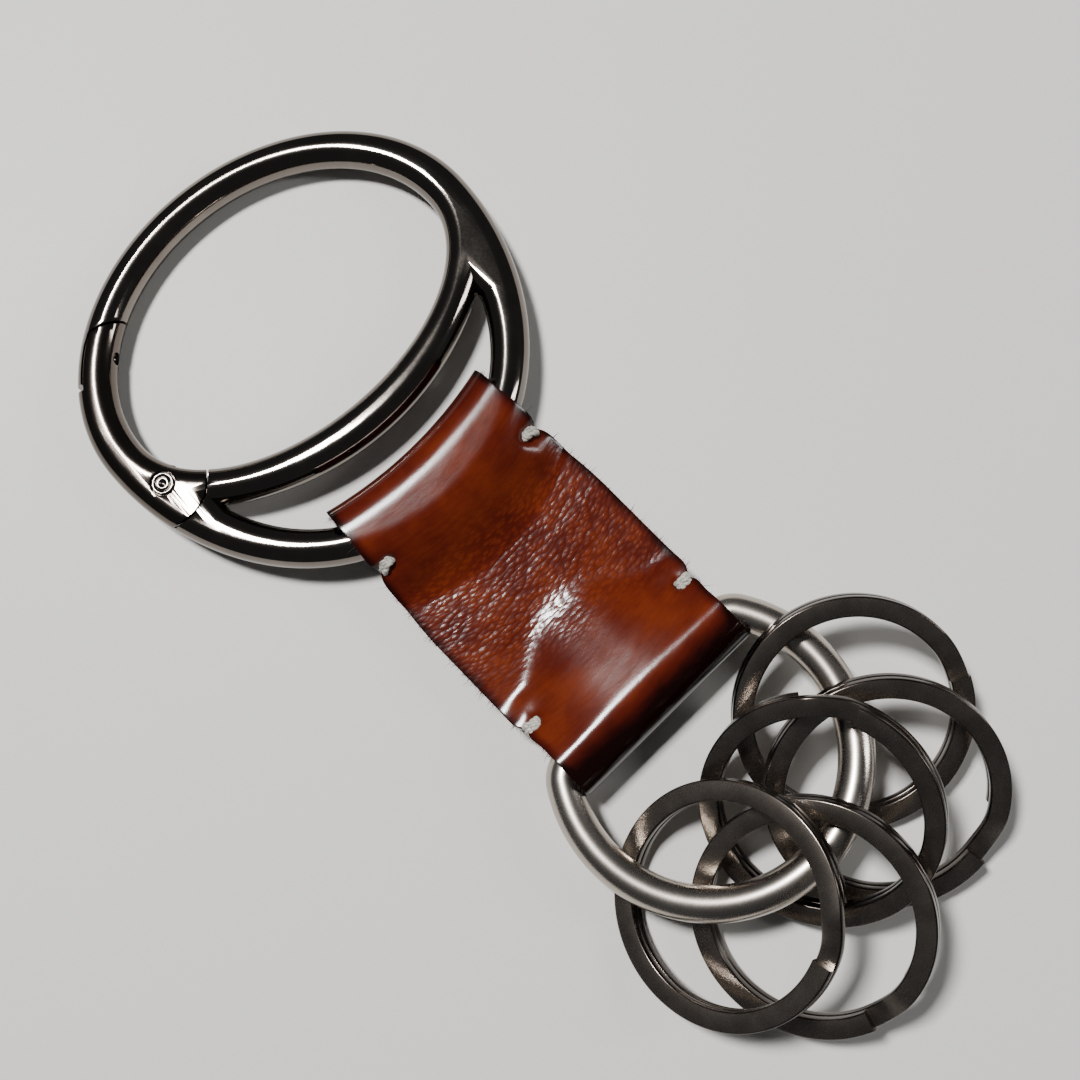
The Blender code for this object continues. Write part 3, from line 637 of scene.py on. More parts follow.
@dataclass
class GateRing:
    """The cast oval ring with its crossbar, strap slot and spring gate, in its own plane."""

    bar: float = 4.5
    rounding: float = 0.485
    outer: tuple[float, float, float, float] = (-19.6, 3.0, 28.3, 34.5)
    outer_handles: tuple[float, float, float, float] = (15.6, 12.6, 15.0, 18.2)
    opening: tuple[float, float, float, float] = (-15.1, 2.6, 23.2, 16.4)
    opening_handles: tuple[float, float, float, float] = (12.8, 9.8, 7.5, 13.0)
    slot_front: tuple[float, float] = (8.6, 21.4)
    slot_back: tuple[float, float] = (-14.9, 36.4)
    slot_half: float = 19.9
    pivot: Vector = field(default_factory=lambda: Vector((9.1, -23.9, 0)))
    hinge_seam: float = 5.4
    nose_seam: float = 21.8
    nose_deg: float = 165.0
    seam: float = 0.13
    lip: float = 0.95
    lip_length: float = 5.8
    eye: float = 2.1
    tang_deg: float = 25.0
    tang_reach: float = 6.2
    tang_half: float = 1.7
    tang_thick: float = 1.5
    fork_deg: float = 39.0
    fork_reach: float = 16.2
    fork_gap: float = 2.1
    rivet_head: float = 1.45
    head_room: float = 0.18
    seat: float = 1.75
    worn_edge: float = 0.10
    dimple: Vector = field(default_factory=lambda: Vector((-7.9, -18.7, 0.3)))

    def plane(self) -> Matrix:
        """Place the ring's plane from the gate hinge's axis and position in the frame."""
        place, axis = joint_at("gate_hinge")
        normal = -axis
        yaw = math.atan2(-normal.y, -normal.x)
        tilt = math.acos(normal.z)
        turn = Matrix.Rotation(yaw, 4, "Z") @ Matrix.Rotation(-tilt, 4, "Y")
        return Matrix.Translation(place - turn @ self.pivot) @ turn

    def egg(self, size: tuple[float, float, float, float], handles: tuple[float, float, float, float],
            steps: int) -> list[Vector]:
        """Draw an egg-shaped outline as four Bezier quarters.

        Args:
            size: Its far end, the place and half width of its widest part, and its near end.
            handles: Bezier handles at the far end, behind and before the widest part, and near.
            steps: Points in each quarter.

        Returns:
            The outline's points, all round.
        """
        far, wide_x, wide, near = size
        far_side, wide_back, wide_front, near_side = handles
        points: list[Vector] = []
        for side in (1, -1):
            back = [(far, 0), (far, far_side * side),
                    (wide_x - wide_back, wide * side), (wide_x, wide * side)]
            front = [(wide_x, wide * side), (wide_x + wide_front, wide * side),
                     (near, near_side * side), (near, 0)]
            quarters = [back, front] if side == 1 else [front[::-1], back[::-1]]
            for quarter in quarters:
                points += interpolate_bezier(*[Vector((x, y, 0)) for x, y in quarter], steps + 1)[:-1]
        return points

    def slot(self, steps: int) -> list[Vector]:
        """Draw the crescent slot for the strap, with blunt tips."""
        points = []
        for (centre, radius), turn in ((self.slot_front, 1), (self.slot_back, -1)):
            end = math.asin(self.slot_half / radius)
            for step in range(steps + 1):
                angle = turn * end * (1 - 2 * step / steps)
                points.append(Vector((centre, 0, 0)) + heading(angle, radius))
        return points

    def casting(self) -> bpy.types.Mesh:
        """Cast the whole ring, gate included, with a rounded bar section."""
        curve = bpy.data.curves.new("casting", "CURVE")
        curve.dimensions = "2D"
        curve.fill_mode = "BOTH"
        for outline in (self.egg(self.outer, self.outer_handles, 44),
                        self.egg(self.opening, self.opening_handles, 36), self.slot(44)):
            spline = curve.splines.new("POLY")
            spline.points.add(len(outline) - 1)
            for point, place in zip(spline.points, outline):
                point.co = (place.x, place.y, 0, 1)
            spline.use_cyclic_u = True
        depth = self.rounding * self.bar
        curve.bevel_depth = depth
        curve.bevel_resolution = 7
        curve.offset = -depth
        curve.extrude = self.bar / 2 - depth
        bm = bmesh.new()
        bm.from_mesh(baked(bpy.data.objects.new("casting", curve)))
        bmesh.ops.remove_doubles(bm, verts=bm.verts, dist=2e-3)
        bmesh.ops.recalc_face_normals(bm, faces=bm.faces)
        return mesh_from("casting", bm)

    def window(self, grow: float) -> list[Vector]:
        """Outline the gate's place in the ring.

        Args:
            grow: How much larger than the seams the outline is, all round.

        Returns:
            The outline, along the nose seam, inside the lip, outside the ring and the hinge seam.
        """
        nose = self.nose_seam + grow
        outer = [p for p in self.egg(self.outer, self.outer_handles, 90)
                 if p.y < 0 and p.x < self.pivot.x]
        inset = self.lip + self.seam - grow
        reach = self.lip_length + self.seam - grow
        start = math.radians(self.nose_deg - 28)
        points = [self.pivot + heading(start + math.radians(2 * step), nose) for step in range(21)]
        points = [p for p in points if not self.in_lip(p, outer, inset)]
        lip = sorted((p for p in outer if (p - self.pivot).length < nose), key=lambda p: p.x)
        travelled = 0.0
        for before, after in zip(lip, lip[1:]):
            travelled += (after - before).length
            along = (after - before).normalized()
            inward = Vector((-along.y, along.x, 0))
            points.append(after + inward * inset)
            if travelled > reach:
                points.append(after - inward * 2)
                break
        points += [Vector((-2, -34, 0)), Vector((10, -34, 0))]
        return points + self.round_pivot(0, self.hinge_seam + grow, range(-80, 101, 4))

    def round_pivot(self, turn_deg: float, radius: float, angles: Sequence[int]) -> list[Vector]:
        """Return points about the pivot at a radius, at angles in degrees from a heading."""
        return [self.pivot + heading(math.radians(turn_deg + angle), radius) for angle in angles]

    def in_lip(self, point: Vector, outer: Sequence[Vector], inset: float) -> bool:
        """Say whether a point lies outside the ring or inside its nose lip."""
        nearest = min(outer, key=lambda p: (p - point).length)
        centre = Vector((self.outer[1], 0, 0))
        return (point - centre).length > (nearest - centre).length or (nearest - point).length < inset

    def build(self) -> None:
        """Build the frame, the gate and the rivet, and dress the hidden spring and plunger."""
        tall = self.bar
        room = self.rivet_head + self.head_room
        heads = [turned([(0, low), (room, low), (room, high), (0, high)], 48)
                 for low, high in ((self.seat, tall), (-tall, -self.seat))]
        at_pivot = Matrix.Translation(self.pivot)
        for seat in heads:
            seat.transform(at_pivot)
        tang = self.round_pivot(self.tang_deg, self.eye, range(60, 301, 12))
        end = self.pivot + heading(math.radians(self.tang_deg), self.tang_reach)
        side = heading(math.radians(self.tang_deg + 90), self.tang_half)
        tang += [end - side, end + side]
        half = self.tang_thick / 2
        frame_mesh = carve(self.casting(), [("DIFFERENCE", prism(self.window(self.seam), -tall, tall)),
                                            ("UNION", prism(tang, -half, half))])
        fork = self.round_pivot(self.fork_deg, self.eye + 0.3, range(90, 271, 10))
        fork += self.round_pivot(self.fork_deg, self.fork_reach, (-55, 55))
        half = self.fork_gap / 2
        bm = bmesh.new()
        bmesh.ops.create_icosphere(bm, subdivisions=3, radius=0.8,
                                   matrix=Matrix.Translation(self.dimple))
        gate_mesh = carve(self.casting(), [("INTERSECT", prism(self.window(-self.seam), -tall, tall)),
                                           ("DIFFERENCE", prism(fork, -half, half)),
                                           ("DIFFERENCE", heads[0]), ("DIFFERENCE", heads[1]),
                                           ("DIFFERENCE", mesh_from("dimple", bm))])
        to_frame = Matrix.Scale(MM, 4) @ self.plane()
        for mesh, name, body, finish, slot in (
                (frame_mesh, "ring_frame", "gate_ring", Finish.BLACK_NICKEL, "black_nickel"),
                (gate_mesh, "gate", "gate", Finish.DARK_SATIN, "dark_satin_nickel")):
            soften(mesh, self.worn_edge)
            mesh.transform(to_frame)
            add_piece(f"{name}_cast", settle(mesh, 35), body, [finish], [name])
        rivet = turned(self.rivet_profile(), 96)
        rivet.transform(to_frame @ at_pivot)
        add_piece("gate_rivet_turned", rivet, "gate", [Finish.BLACK_NICKEL],
                  ["gate_rivet"], 50)
        for node in ("gate_spring", "gate_plunger"):
            frame["nodes"][node].data.materials.clear()
            frame["nodes"][node].data.materials.append(Finish.SPRING_WIRE.material)

    def rivet_profile(self) -> list[tuple[float, float]]:
        """Draw half the rivet's section: rounded heads with a groove and a centre dimple."""
        crown = self.bar / 2 + 0.12
        head = self.rivet_head
        upper = [(0.75, self.seat + 0.15), (head, self.seat + 0.15), (head, crown - 0.26),
                 (0.985 * head, crown - 0.17), (0.94 * head, crown - 0.07), (0.88 * head, crown - 0.01),
                 (0.80 * head, crown), (0.72 * head, crown - 0.04), (0.66 * head, crown - 0.16),
                 (0.58 * head, crown - 0.17), (0.52 * head, crown - 0.04), (0.46 * head, crown),
                 (0.34 * head, crown - 0.01), (0.27 * head, crown - 0.08), (0.18 * head, crown - 0.24),
                 (0, crown - 0.30)]
        return [(radius, -height) for radius, height in reversed(upper)] + upper


# ---- leather strap --------------------------------------------------------------------------------

@dataclass(frozen=True)
class Stitch:
    """Where one whip stitch sits: millimetres along the strap, and its side."""

    node: str
    x: float
    side: int


@dataclass
class Strap:
    """The folded leather strip with its stitches and loose fibres.

    Its own frame has x = 0 and y = 0 on the line about which the loop holds the ring's bar.
    """

    leather: float = 1.5
    loop_room: float = 3.45
    dee_room: float = 2.85
    bar_middle: float = 1.3
    bar_drop: float = 3.4
    fold_end: float = -5.4
    fold_sag: float = 1.5
    fold_square: float = 2.8
    swing_x: float = -0.4
    half_widths: tuple[float, float, float] = (12.4, 13.9, 13.2)
    layer_gap: float = 1.6
    ramp: float = 9.5
    rise_start: tuple[float, float] = (17.5, 23.0)
    rise_ease: tuple[float, float] = (5.0, 1.6)
    butt_x: float = 16.0
    butt_gap: float = 0.5
    rows: int = 340
    columns: int = 84
    # Length the strip takes up in its own UV map, a little more than it measures.
    map_length: float = 106.0
    top_layer_z: float = 3.0
    fibres: int = 620
    stitch_inset: float = 2.4
    strand: float = 0.24
    stitches: tuple[Stitch, ...] = (
        Stitch("stitch_ring_left", 3.4, 1), Stitch("stitch_ring_right", 2.9, -1),
        Stitch("stitch_dee_left", 28.8, 1), Stitch("stitch_dee_right", 28.4, -1))

    def __post_init__(self) -> None:
        """Take the strap's place from its two hinge lines."""
        swing, _axis = joint_at("strap_swing")
        self.origin = Vector((swing.x - self.swing_x, swing.y, 0))
        self.loop_z = swing.z
        dee, _axis = joint_at("dee_ring_swing")
        self.dee_x = dee.x - self.origin.x
        self.dee_z = dee.z

    def half_width(self, x: float) -> float:
        """Return half the strap's width at x: fold, then wider middle, then the D-ring's end."""
        fold, middle, dee = self.half_widths
        return fold + (middle - fold) * ease((x + 4) / 18) + (dee - middle) * ease((x - 27) / 5)

    def top(self, x: float, across: float) -> float:
        """Return the height of the top layer's middle surface."""
        middle = self.leather * 1.5 + self.layer_gap
        loop_top = self.loop_z + self.loop_room + self.leather / 2
        dee_top = self.dee_z + self.dee_room + self.leather / 2
        bow = self.bar_middle - self.bar_drop * across * across
        down = ease((x - bow - 0.6) / self.ramp)
        up = self.rise_share(x, across)
        return middle + (loop_top - middle) * (1 - down) + (dee_top - middle) * up

    def rise_share(self, x: float, across: float) -> float:
        """Return how much of its rise to the D-ring the top layer has made at x."""
        middle, edge = self.rise_start
        start = middle + (edge - middle) * ease((abs(across) - 0.1) / 0.75)
        sets_in, levels = self.rise_ease
        here, end = (climbed(place, start, sets_in) - climbed(place, self.dee_x - levels, levels)
                     for place in (x, self.dee_x))
        return here / end

    def line(self, across: float) -> list[Vector]:
        """Trace the strip's middle line at one place across it, from cut end to cut end.

        Args:
            across: The place, from -1 to 1.

        Returns:
            Evenly spaced points in the strap's XZ plane, one more than there are rows.
        """
        under = self.leather / 2
        butt = self.butt_x + self.butt_gap / 2
        raw = [Vector((butt + (self.dee_x - butt) * step / 20, 0, under)) for step in range(20)]
        radius = self.dee_room + self.leather / 2
        dee_bar = Vector((self.dee_x, 0, self.dee_z))
        for step in range(41):
            angle = math.radians(-90 + 4.5 * step)
            raw.append(dee_bar + Vector((radius * math.cos(angle), 0, radius * math.sin(angle))))
        tall = self.loop_room + self.leather / 2
        start = self.fold_end - self.leather / 2 + self.fold_sag * (1 - across * across) + tall
        for step in range(1, 90):
            x = self.dee_x + (start - self.dee_x) * step / 90
            raw.append(Vector((x, 0, self.top(x, across))))
        for step in range(61):
            angle = math.radians(3 * step)
            back = tall * math.sin(angle) ** (2 / self.fold_square) if step not in (0, 60) else 0.0
            rise = tall * abs(math.cos(angle)) ** (2 / self.fold_square)
            rise = math.copysign(rise, math.cos(angle))
            raw.append(Vector((start - back, 0, self.loop_z + rise)))
        butt = self.butt_x - self.butt_gap / 2
        raw += [Vector((start + (butt - start) * step / 20, 0, under)) for step in range(1, 21)]
        return self.evenly(raw, self.rows)

    @staticmethod
    def evenly(raw: Sequence[Vector], count: int) -> list[Vector]:
        """Space points evenly along a polyline.

        Args:
            raw: The polyline.
            count: How many steps to take along it.

        Returns:
            One more point than there are steps.
        """
        lengths = [0.0]
        for before, after in zip(raw, raw[1:]):
            lengths.append(lengths[-1] + (after - before).length)
        points, place = [], 0
        for step in range(count + 1):
            wanted = lengths[-1] * step / count
            while place < len(raw) - 2 and lengths[place + 1] < wanted:
                place += 1
            stretch = lengths[place + 1] - lengths[place]
            share = (wanted - lengths[place]) / stretch if stretch else 0.0
            points.append(raw[place].lerp(raw[place + 1], min(1.0, max(0.0, share))))
        return points

    def swell(self, point: Vector, y: float) -> float:
        """Return how far the top layer's surface stands off its smooth shape, in millimetres."""
        x = point.x
        rise = 0.0
        on_top = ease(point.z - self.top_layer_z)
        for stitch in self.stitches:
            inner = stitch.side * (self.half_width(stitch.x) - self.stitch_inset)
            away = math.hypot(x - stitch.x, y - inner)
            rise -= 0.55 * bump_at(away, 0.75)
            groove = bump_at(x - stitch.x, 0.95) * ease((stitch.side * (y - inner) + 0.2) / 0.8)
            rise -= 0.42 * groove
            towards_middle = 2.3 if stitch.x > self.butt_x else -2.3
            pucker = math.hypot((x - stitch.x + towards_middle) / 1.2, (y - inner * 0.97) / 1.6)
            rise += 0.22 * bump_at(pucker, 1.0)
        middle = ease((x - 2) / 6) * (1 - ease((x - 24) / 7))
        broad = noise.noise(Vector((x / 7.0, y / 9.0, 3.7)))
        tilted = (x + 0.18 * y) / 2.1
        fine = noise.noise(Vector((tilted, y / 6.5, 9.1)))
        finer = noise.noise(Vector((tilted * 2.1, y / 3.0, 1.3)))
        rise += middle * (0.06 * broad + 0.018 * fine + 0.007 * finer)
        return rise * on_top

    def build(self) -> None:
        """Build the leather, its loose fibres and its stitches."""
        self.build_leather()
        self.build_fuzz()
        for number, stitch in enumerate(self.stitches):
            self.build_stitch(stitch, number)

    def shaped(self, x: float, across: float) -> float:
        """Return y at a share of the half width, notched where a stitch pulls the edge in."""
        y = across * self.half_width(x)
        for stitch in self.stitches:
            if stitch.side * across > 0:
                pull = 0.75 * bump_at(x - stitch.x, 0.85) * ease((abs(across) - 0.75) / 0.25)
                y -= stitch.side * pull
        return y

    def build_leather(self) -> None:
        """Fold a fine grid of leather along the strip's line, thicken it and round its edge."""
        bm = bmesh.new()
        bmesh.ops.create_grid(bm, x_segments=self.rows, y_segments=self.columns, size=1.0)
        worked = bm.verts.layers.float.new("worked")
        burnish_and_shade = bm.verts.layers.float.new("burnish_and_shade")
        uv = bm.loops.layers.uv.new("strap")
        lines = [self.line(2 * column / self.columns - 1) for column in range(self.columns + 1)]
        flat: dict[bmesh.types.BMVert, tuple[float, float]] = {}
        for vert in bm.verts:
            row = round((vert.co.x + 1) / 2 * self.rows)
            column = round((vert.co.y + 1) / 2 * self.columns)
            line = lines[column]
            point = line[row]
            across = 2 * column / self.columns - 1
            ahead = line[min(row + 1, self.rows)] - line[max(row - 1, 0)]
            normal = Vector((ahead.z, 0, -ahead.x)).normalized()
            y = self.shaped(point.x, across)
            place = point + normal * self.swell(point, y)
            on_top = point.z > self.top_layer_z
            reach = row * self.map_length / self.rows
            edge = 1 - abs(across)
            # The darkening mark: burnishing along the cut edges and where the rings rub the folds, and
            # painted shade on the folds' far faces, on the layer beneath and round the stitch holes.
            to_dee = ease((point.x - 33.2) / 4.0)
            to_ring = ease((-point.x - 1.0) / 4.5)
            tone_mark = 0.55 * bump_at(edge, 0.055) + 0.95 * to_dee + 0.38 * to_ring
            # Painted shade on the layer beneath.
            tone_mark += 0.0 if on_top else 0.35
            # Painted shade round each stitch hole, where the thread sinks in.
            for stitch in self.stitches:
                inner = stitch.side * (self.half_width(stitch.x) - self.stitch_inset)
                tone_mark += 1.1 * bump_at(math.hypot(point.x - stitch.x, y - inner), 0.55) * on_top
            vert[burnish_and_shade] = min(1.2, tone_mark)
            vert[worked] = (ease((point.x - 3.5) / 6.5) * (1 - ease((point.x - 19.5 - 0.15 * y) / 8))
                            * (0.55 + 0.45 * ease(edge / 0.12)) if on_top else 0.12)
            flat[vert] = (reach * MM, y * MM)
            vert.co = (self.origin + Vector((place.x, y, place.z))) * MM
        for face in bm.faces:
            for loop in face.loops:
                loop[uv].uv = flat[loop.vert]
        bmesh.ops.recalc_face_normals(bm, faces=bm.faces)
        outward = next(face for face in bm.faces if face.calc_center_median().z > 6.5 * MM)
        if outward.normal.z < 0:
            bmesh.ops.reverse_faces(bm, faces=bm.faces)
        thing = bpy.data.objects.new("leather", mesh_from("leather", bm))
        for finish in (Finish.LEATHER, Finish.FLESH, Finish.CUT_EDGE):
            thing.data.materials.append(finish.material)
        shell = thing.modifiers.new("thickness", "SOLIDIFY")
        shell.thickness = self.leather * MM
        shell.offset = 0.0
        shell.material_offset = 1
        shell.material_offset_rim = 2
        rounded = thing.modifiers.new("worn edge", "BEVEL")
        rounded.limit_method = "ANGLE"
        rounded.angle_limit = math.radians(55)
        rounded.width = 0.34 * MM
        rounded.segments = 3
        rounded.material = 2
        mesh = baked(thing)
        mesh.materials.clear()
        add_piece("strap_leather", mesh, "strap",
                  [Finish.LEATHER, Finish.FLESH, Finish.CUT_EDGE], ["strap"])

    def build_fuzz(self) -> None:
        """Stand loose fibres along the strap's cut edges."""
        chance = random.Random(11)
        bm = bmesh.new()
        lines = {side: self.line(side) for side in (-1, 1)}
        for _count in range(self.fibres):
            side = chance.choice((-1, 1))
            line = lines[side]
            point = line[chance.randrange(4, self.rows - 4)]
            if abs(point.x - self.dee_x) < 1.5 and chance.random() < 0.6:
                continue
            y = self.shaped(point.x, side)
            lean = (chance.gauss(0, 0.9), side * (0.6 + chance.random()), chance.gauss(0.25, 0.6))
            out = Vector(lean).normalized()
            long = min(1.5, 0.35 + chance.expovariate(3.2))
            thick = chance.uniform(0.022, 0.045)
            root = Vector((point.x, y - side * 0.12, point.z + chance.uniform(-0.6, 0.6)))
            centre = (self.origin + root + out * long / 2) * MM
            turn = UP.rotation_difference(out).to_matrix().to_4x4()
            bmesh.ops.create_cone(
                bm, cap_ends=True, segments=4, radius1=thick * MM, radius2=thick * 0.2 * MM,
                depth=long * MM, matrix=Matrix.Translation(centre) @ turn)
        low = [vert for vert in bm.verts if vert.co.z < 0.05 * MM]
        for vert in low:
            vert.co.z = 0.05 * MM
        add_piece("strap_fuzz", mesh_from("fuzz", bm), "strap", [Finish.FUZZ])

    def build_stitch(self, stitch: Stitch, seed: int) -> None:
        """Wind three twisted strands of thread round the strap's edge at a stitch."""
        chance = random.Random(seed)
        edge = abs(self.shaped(stitch.x, stitch.side))
        inner = self.half_width(stitch.x) - self.stitch_inset
        bm = bmesh.new()
        for place in (-0.52, 0.0, 0.52):
            slant = chance.uniform(-0.10, 0.10)
            loop = self.stitch_loop(stitch, edge, inner, place, slant)
            for ply in (0, 1):
                path = self.twisted(loop, 0.17, ply * math.pi + chance.random(), 9)
                bm.from_mesh(wire(path, self.strand, 3, True))
        bmesh.ops.scale(bm, vec=(MM, MM, MM), verts=bm.verts)
        bmesh.ops.recalc_face_normals(bm, faces=bm.faces)
        add_piece(f"{stitch.node}_thread", mesh_from("thread", bm), "strap",
                  [Finish.THREAD], [stitch.node])

    def stitch_loop(self, stitch: Stitch, edge: float, inner: float, place: float,
                    slant: float) -> list[Vector]:
        """Trace one strand's closed loop round the edge.

        Args:
            stitch: The stitch.
            edge: Distance of the pulled-in edge from mid width.
            inner: Distance of the stitch hole from mid width.
            place: The strand's place along the strap, from the stitch.
            slant: How far it leans along the strap by the time it reaches the edge.

        Returns:
            The loop's points in the frame, in millimetres.
        """
        centre, reach = (edge + inner) / 2, (edge - inner) / 2 + 0.12
        bottom = 0.55
        points = []
        for step in range(72):
            angle = math.tau * step / 72
            share_y = math.copysign(abs(math.cos(angle)) ** 0.45, math.cos(angle))
            share_z = math.copysign(abs(math.sin(angle)) ** 0.45, math.sin(angle))
            x = stitch.x + place * (0.55 + 0.45 * (share_y + 1) / 2) + slant * share_y
            out = centre + reach * share_y
            across = min(1.0, out / self.half_width(stitch.x))
            top = self.top(stitch.x, across) + self.leather / 2 - 0.10
            z = bottom + (top - bottom) * (share_z + 1) / 2
            points.append(self.origin + Vector((x, stitch.side * out, z)))
        return points

    @staticmethod
    def twisted(loop: Sequence[Vector], offset: float, phase: float, turns: int) -> list[Vector]:
        """Wind a path round a closed loop.

        Args:
            loop: The loop's points.
            offset: Distance of the winding from the loop.
            phase: Where the winding starts.
            turns: Whole turns in the loop.

        Returns:
            The winding's points.
        """
        points = []
        for step, point in enumerate(loop):
            along = (loop[(step + 1) % len(loop)] - loop[step - 1]).normalized()
            side = along.cross(ALONG).normalized()
            angle = phase + math.tau * turns * step / len(loop)
            points.append(point + (ALONG * math.cos(angle) + side * math.sin(angle)) * offset)
        return points


# ---- D-ring and split rings -----------------------------------------------------------------------

@dataclass
class DeeRing:
    """The round wire ring with one straight side that sits in the strap's fold."""

    radius: float = 17.0
    wire: float = 2.15
    flat: float = 10.5
    bend: float = 3.2
    lift_deg: float = 6.5

    def path(self) -> list[Vector]:
        """Trace the ring's centre line about its straight bar."""
        centre = Vector((self.bend - self.flat, math.sqrt((self.radius - self.bend) ** 2
                                                        - (self.bend - self.flat) ** 2), 0))
        touch = math.atan2(centre.y, centre.x)
        points = [heading(touch * (1 - 2 * step / 150), self.radius) for step in range(151)]
        low = Vector((centre.x, -centre.y, 0))
        bend = [low + heading(-touch - (math.pi - touch) * step / 24, self.bend)
                for step in range(1, 25)]
        points += bend
        points += [Vector((-self.flat, centre.y * (step / 10 - 1), 0)) for step in range(1, 20)]
        points += [Vector((point.x, -point.y, 0)) for point in reversed(bend)]
        return [point + Vector((self.flat, 0, 0)) for point in points]

    def build(self) -> None:
        """Build the ring on its hinge, with the round end lifted."""
        place, _axis = joint_at("dee_ring_swing")
        mesh = wire(self.path(), self.wire, 12, True)
        lift = Matrix.Rotation(-math.radians(self.lift_deg), 4, "Y")
        mesh.transform(Matrix.Scale(MM, 4) @ Matrix.Translation(place) @ lift)
        add_piece("dee_ring_wire", mesh, "dee_ring", [Finish.SATIN_NICKEL], ["dee_ring"])


@dataclass
class SplitRings:
    """The flat-band split rings, each coiled for two turns."""

    outside: float = 14.0
    inside: float = 11.6
    thick: float = 1.1
    gap: float = 0.10
    step_deg: float = 24.0
    end_deg: float = 3.0
    corner: float = 0.20
    split_deg: tuple[float, ...] = (80, 25, 130, 0, 35)
    steps: int = 288

    def band(self) -> bpy.types.Mesh:
        """Coil a rounded flat band for two turns, stepping from one turn to the other at the split.

        The band's section is spun with a tall pitch, so that a vertex's height first tells how
        far round it is; the pitch is then replaced by the real, shallow step.

        Returns:
            The band's mesh in millimetres, about Z, with its split on +X.
        """
        bm = bmesh.new()
        bmesh.ops.create_grid(bm, x_segments=1, y_segments=1, size=0.5)
        wide = self.outside - self.inside
        for vert in bm.verts:
            vert.co = Vector((vert.co.x * wide, vert.co.y * self.thick, 0))
        bmesh.ops.bevel(bm, geom=bm.verts[:], offset=self.corner, segments=4, profile=0.5,
                        affect="VERTICES", material=-1)
        for vert in bm.verts:
            crown = 0.035 * (1 - (2 * vert.co.x / wide) ** 2) * math.copysign(1, vert.co.y)
            vert.co = Vector((vert.co.x + (self.outside + self.inside) / 2, 0, vert.co.y + crown))
        first = math.radians(self.step_deg / 2 + self.end_deg)
        total = 2 * math.tau - 2 * first
        pitch = 4.0
        bmesh.ops.spin(bm, geom=bm.faces[:] + bm.edges[:] + bm.verts[:], cent=(0, 0, 0), axis=UP,
                       dvec=(0, 0, pitch), angle=total, steps=self.steps, use_duplicate=False)
        flat = bm.verts.layers.float.new("flat")
        bmesh.ops.rotate(bm, verts=bm.verts, cent=(0, 0, 0), matrix=Matrix.Rotation(first, 3, "Z"))
        half_step = math.radians(self.step_deg / 2)
        for vert in bm.verts:
            step = math.floor(vert.co.z / pitch + 0.5)
            own = vert.co.z - step * pitch
            angle = first + total * step / self.steps
            climb = ease((angle - math.tau + half_step) / (2 * half_step))
            radial = math.hypot(vert.co.x, vert.co.y) - (self.outside + self.inside) / 2
            # This mask gives the flat faces their own colour and the rounded edges the painted edge
            # shade.
            vert[flat] = ease((wide / 2 - self.corner * 0.6 - abs(radial)) / 0.12)
            vert.co.z = own + (self.thick + self.gap) * (climb - 0.5)
        bmesh.ops.recalc_face_normals(bm, faces=bm.faces)
        return mesh_from("band", bm)

    def build(self) -> None:
        """Place a band at every split ring's axis in the frame."""
        for number, split in enumerate(self.split_deg, start=1):
            place, axis = joint_at(f"split_ring_{number}_spin")
            turn = UP.rotation_difference(axis) @ Quaternion(UP, math.radians(split))
            mesh = self.band()
            mesh.transform(Matrix.Scale(MM, 4) @ Matrix.Translation(place) @ turn.to_matrix().to_4x4())
            node = f"split_ring_{number}"
            add_piece(f"{node}_band", mesh, f"{node}_body", [Finish.BAND],
                      [node], 60)


# ---- studio ---------------------------------------------------------------------------------------

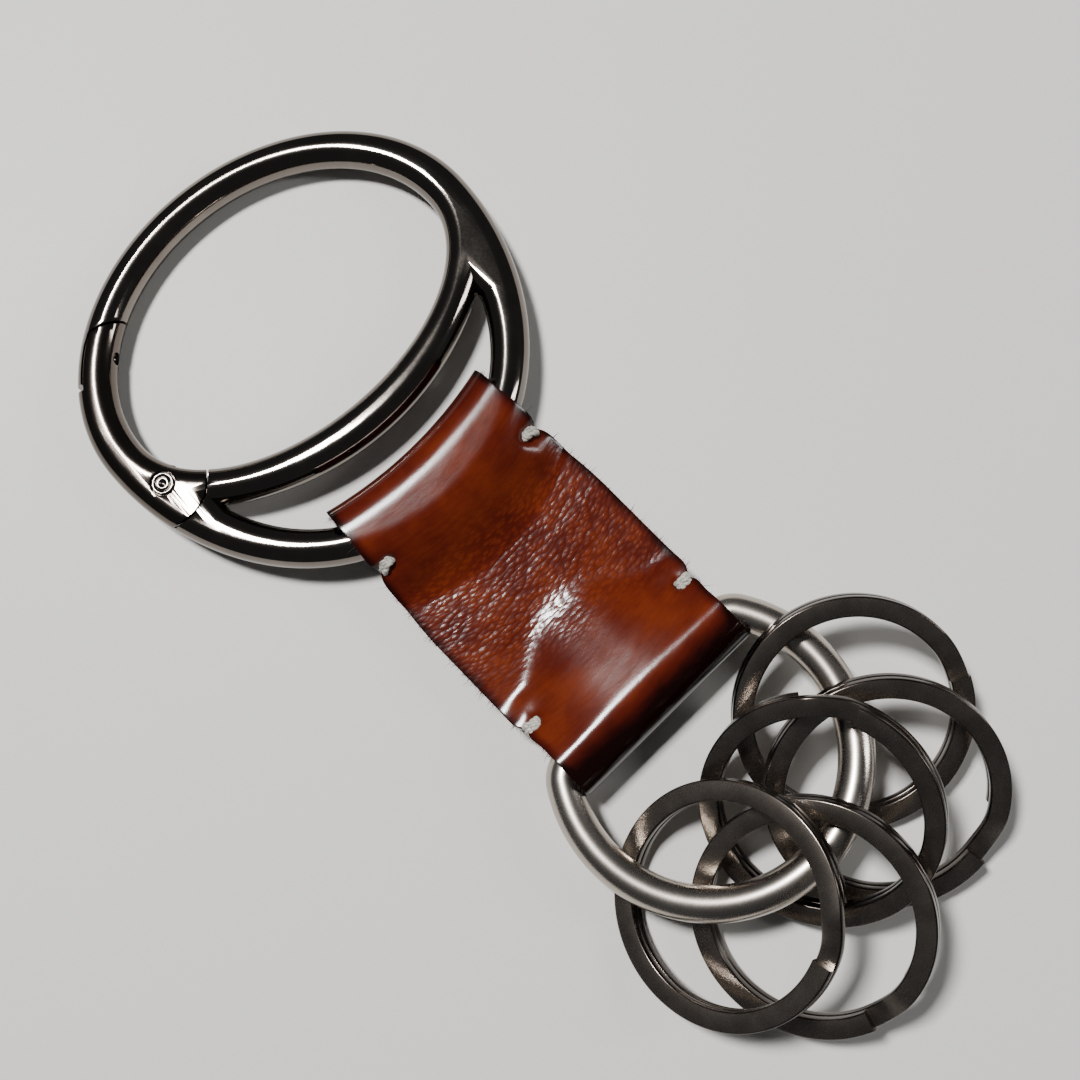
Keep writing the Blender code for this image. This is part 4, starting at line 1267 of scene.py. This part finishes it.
@dataclass
class Studio:
    """A plain pale floor, soft light and the camera, which looks down on the organiser."""

    table_point: Vector = field(default_factory=lambda: Vector((19.59, -25.81, 0)))
    object_point: Vector = field(default_factory=lambda: Vector((30.115, -0.58, 0)))
    turn_deg: float = -45.7
    tilt_deg: tuple[float, float] = (2.0, 8.0)
    distance: float = 181.6
    focal_share: float = 1484 / 1080
    floor: str = "#d4d2ce"

    def to_frame(self, point: Vector) -> Vector:
        """Turn a point that is level with the camera's axes into the frame, in millimetres."""
        back = Matrix.Rotation(math.radians(-self.turn_deg), 3, "Z")
        return back @ (point - self.table_point) + self.object_point

    def build(self) -> None:
        """Build the floor, the lights and the camera."""
        self.build_floor()
        self.build_camera()
        self.build_lights()

    def build_floor(self) -> None:
        """Lay the floor under the organiser."""
        bm = bmesh.new()
        bmesh.ops.create_grid(bm, x_segments=8, y_segments=8, size=1.6)
        material, tree, shader, place = start_material("matt painted board")
        haze = add_node(tree, "ShaderNodeTexNoise", {"Vector": place, "Scale": 9.0, "Detail": 3.0})
        shader.inputs["Base Color"].default_value = srgb(self.floor)
        tree.links.new(span(tree, haze.outputs["Fac"], 0.3, 0.7, 0.5, 0.6), shader.inputs["Roughness"])
        mesh = mesh_from("floor", bm)
        mesh.materials.append(material)
        floor = bpy.data.objects.new("floor", mesh)
        bpy.context.scene.collection.objects.link(floor)

    def build_camera(self) -> None:
        """Set the camera over the organiser."""
        tan_x, tan_y = (math.tan(math.radians(angle)) for angle in self.tilt_deg)
        back = Vector((tan_x, -tan_y, 1)).normalized()
        right = Vector((0, 1, 0)).cross(back).normalized()
        turn = Matrix.Rotation(math.radians(-self.turn_deg), 3, "Z")
        axes = Matrix((turn @ right, turn @ back.cross(right), turn @ back)).transposed()
        data = bpy.data.cameras.new("camera")
        data.sensor_width = 36.0
        data.lens = 36.0 * self.focal_share
        data.clip_start = 0.01
        camera = bpy.data.objects.new("camera", data)
        spot = self.to_frame(back * self.distance) * MM
        camera.matrix_world = Matrix.Translation(spot) @ axes.to_4x4()
        bpy.context.scene.collection.objects.link(camera)
        bpy.context.scene.camera = camera

    def build_lights(self) -> None:
        """Hang a key light and a low rim light in a dim, even surround."""
        world = bpy.data.worlds.new("studio")
        bpy.context.scene.world = world
        world.use_nodes = True
        surround = world.node_tree.nodes["Background"]
        surround.inputs["Color"].default_value = srgb("#8a8d92")
        surround.inputs["Strength"].default_value = 0.22
        for name, place, size, power in (
                ("key", Vector((-304, 248, 900)), (150, 150), 15.8),
                ("rim", Vector((640, 60, 420)), (90, 330), 1.6)):
            data = bpy.data.lights.new(name, "AREA")
            data.shape = "RECTANGLE"
            data.size, data.size_y = size[0] * MM, size[1] * MM
            data.energy = power
            light = bpy.data.objects.new(name, data)
            spot = self.to_frame(place) * MM
            aim = spot.to_track_quat("Z", "Y").to_matrix().to_4x4()
            light.matrix_world = Matrix.Translation(spot) @ aim
            bpy.context.scene.collection.objects.link(light)


def main() -> None:
    """Build the organiser's looks and its studio."""
    logging.basicConfig(level=logging.INFO, format="%(name)s: %(message)s")
    assemblies: tuple[Any, ...] = (GateRing(), Strap(), DeeRing(), SplitRings(), Studio())
    for assembly in assemblies:
        assembly.build()
        LOG.info("%s is done", type(assembly).__name__)


if __name__ == "__main__":
    main()
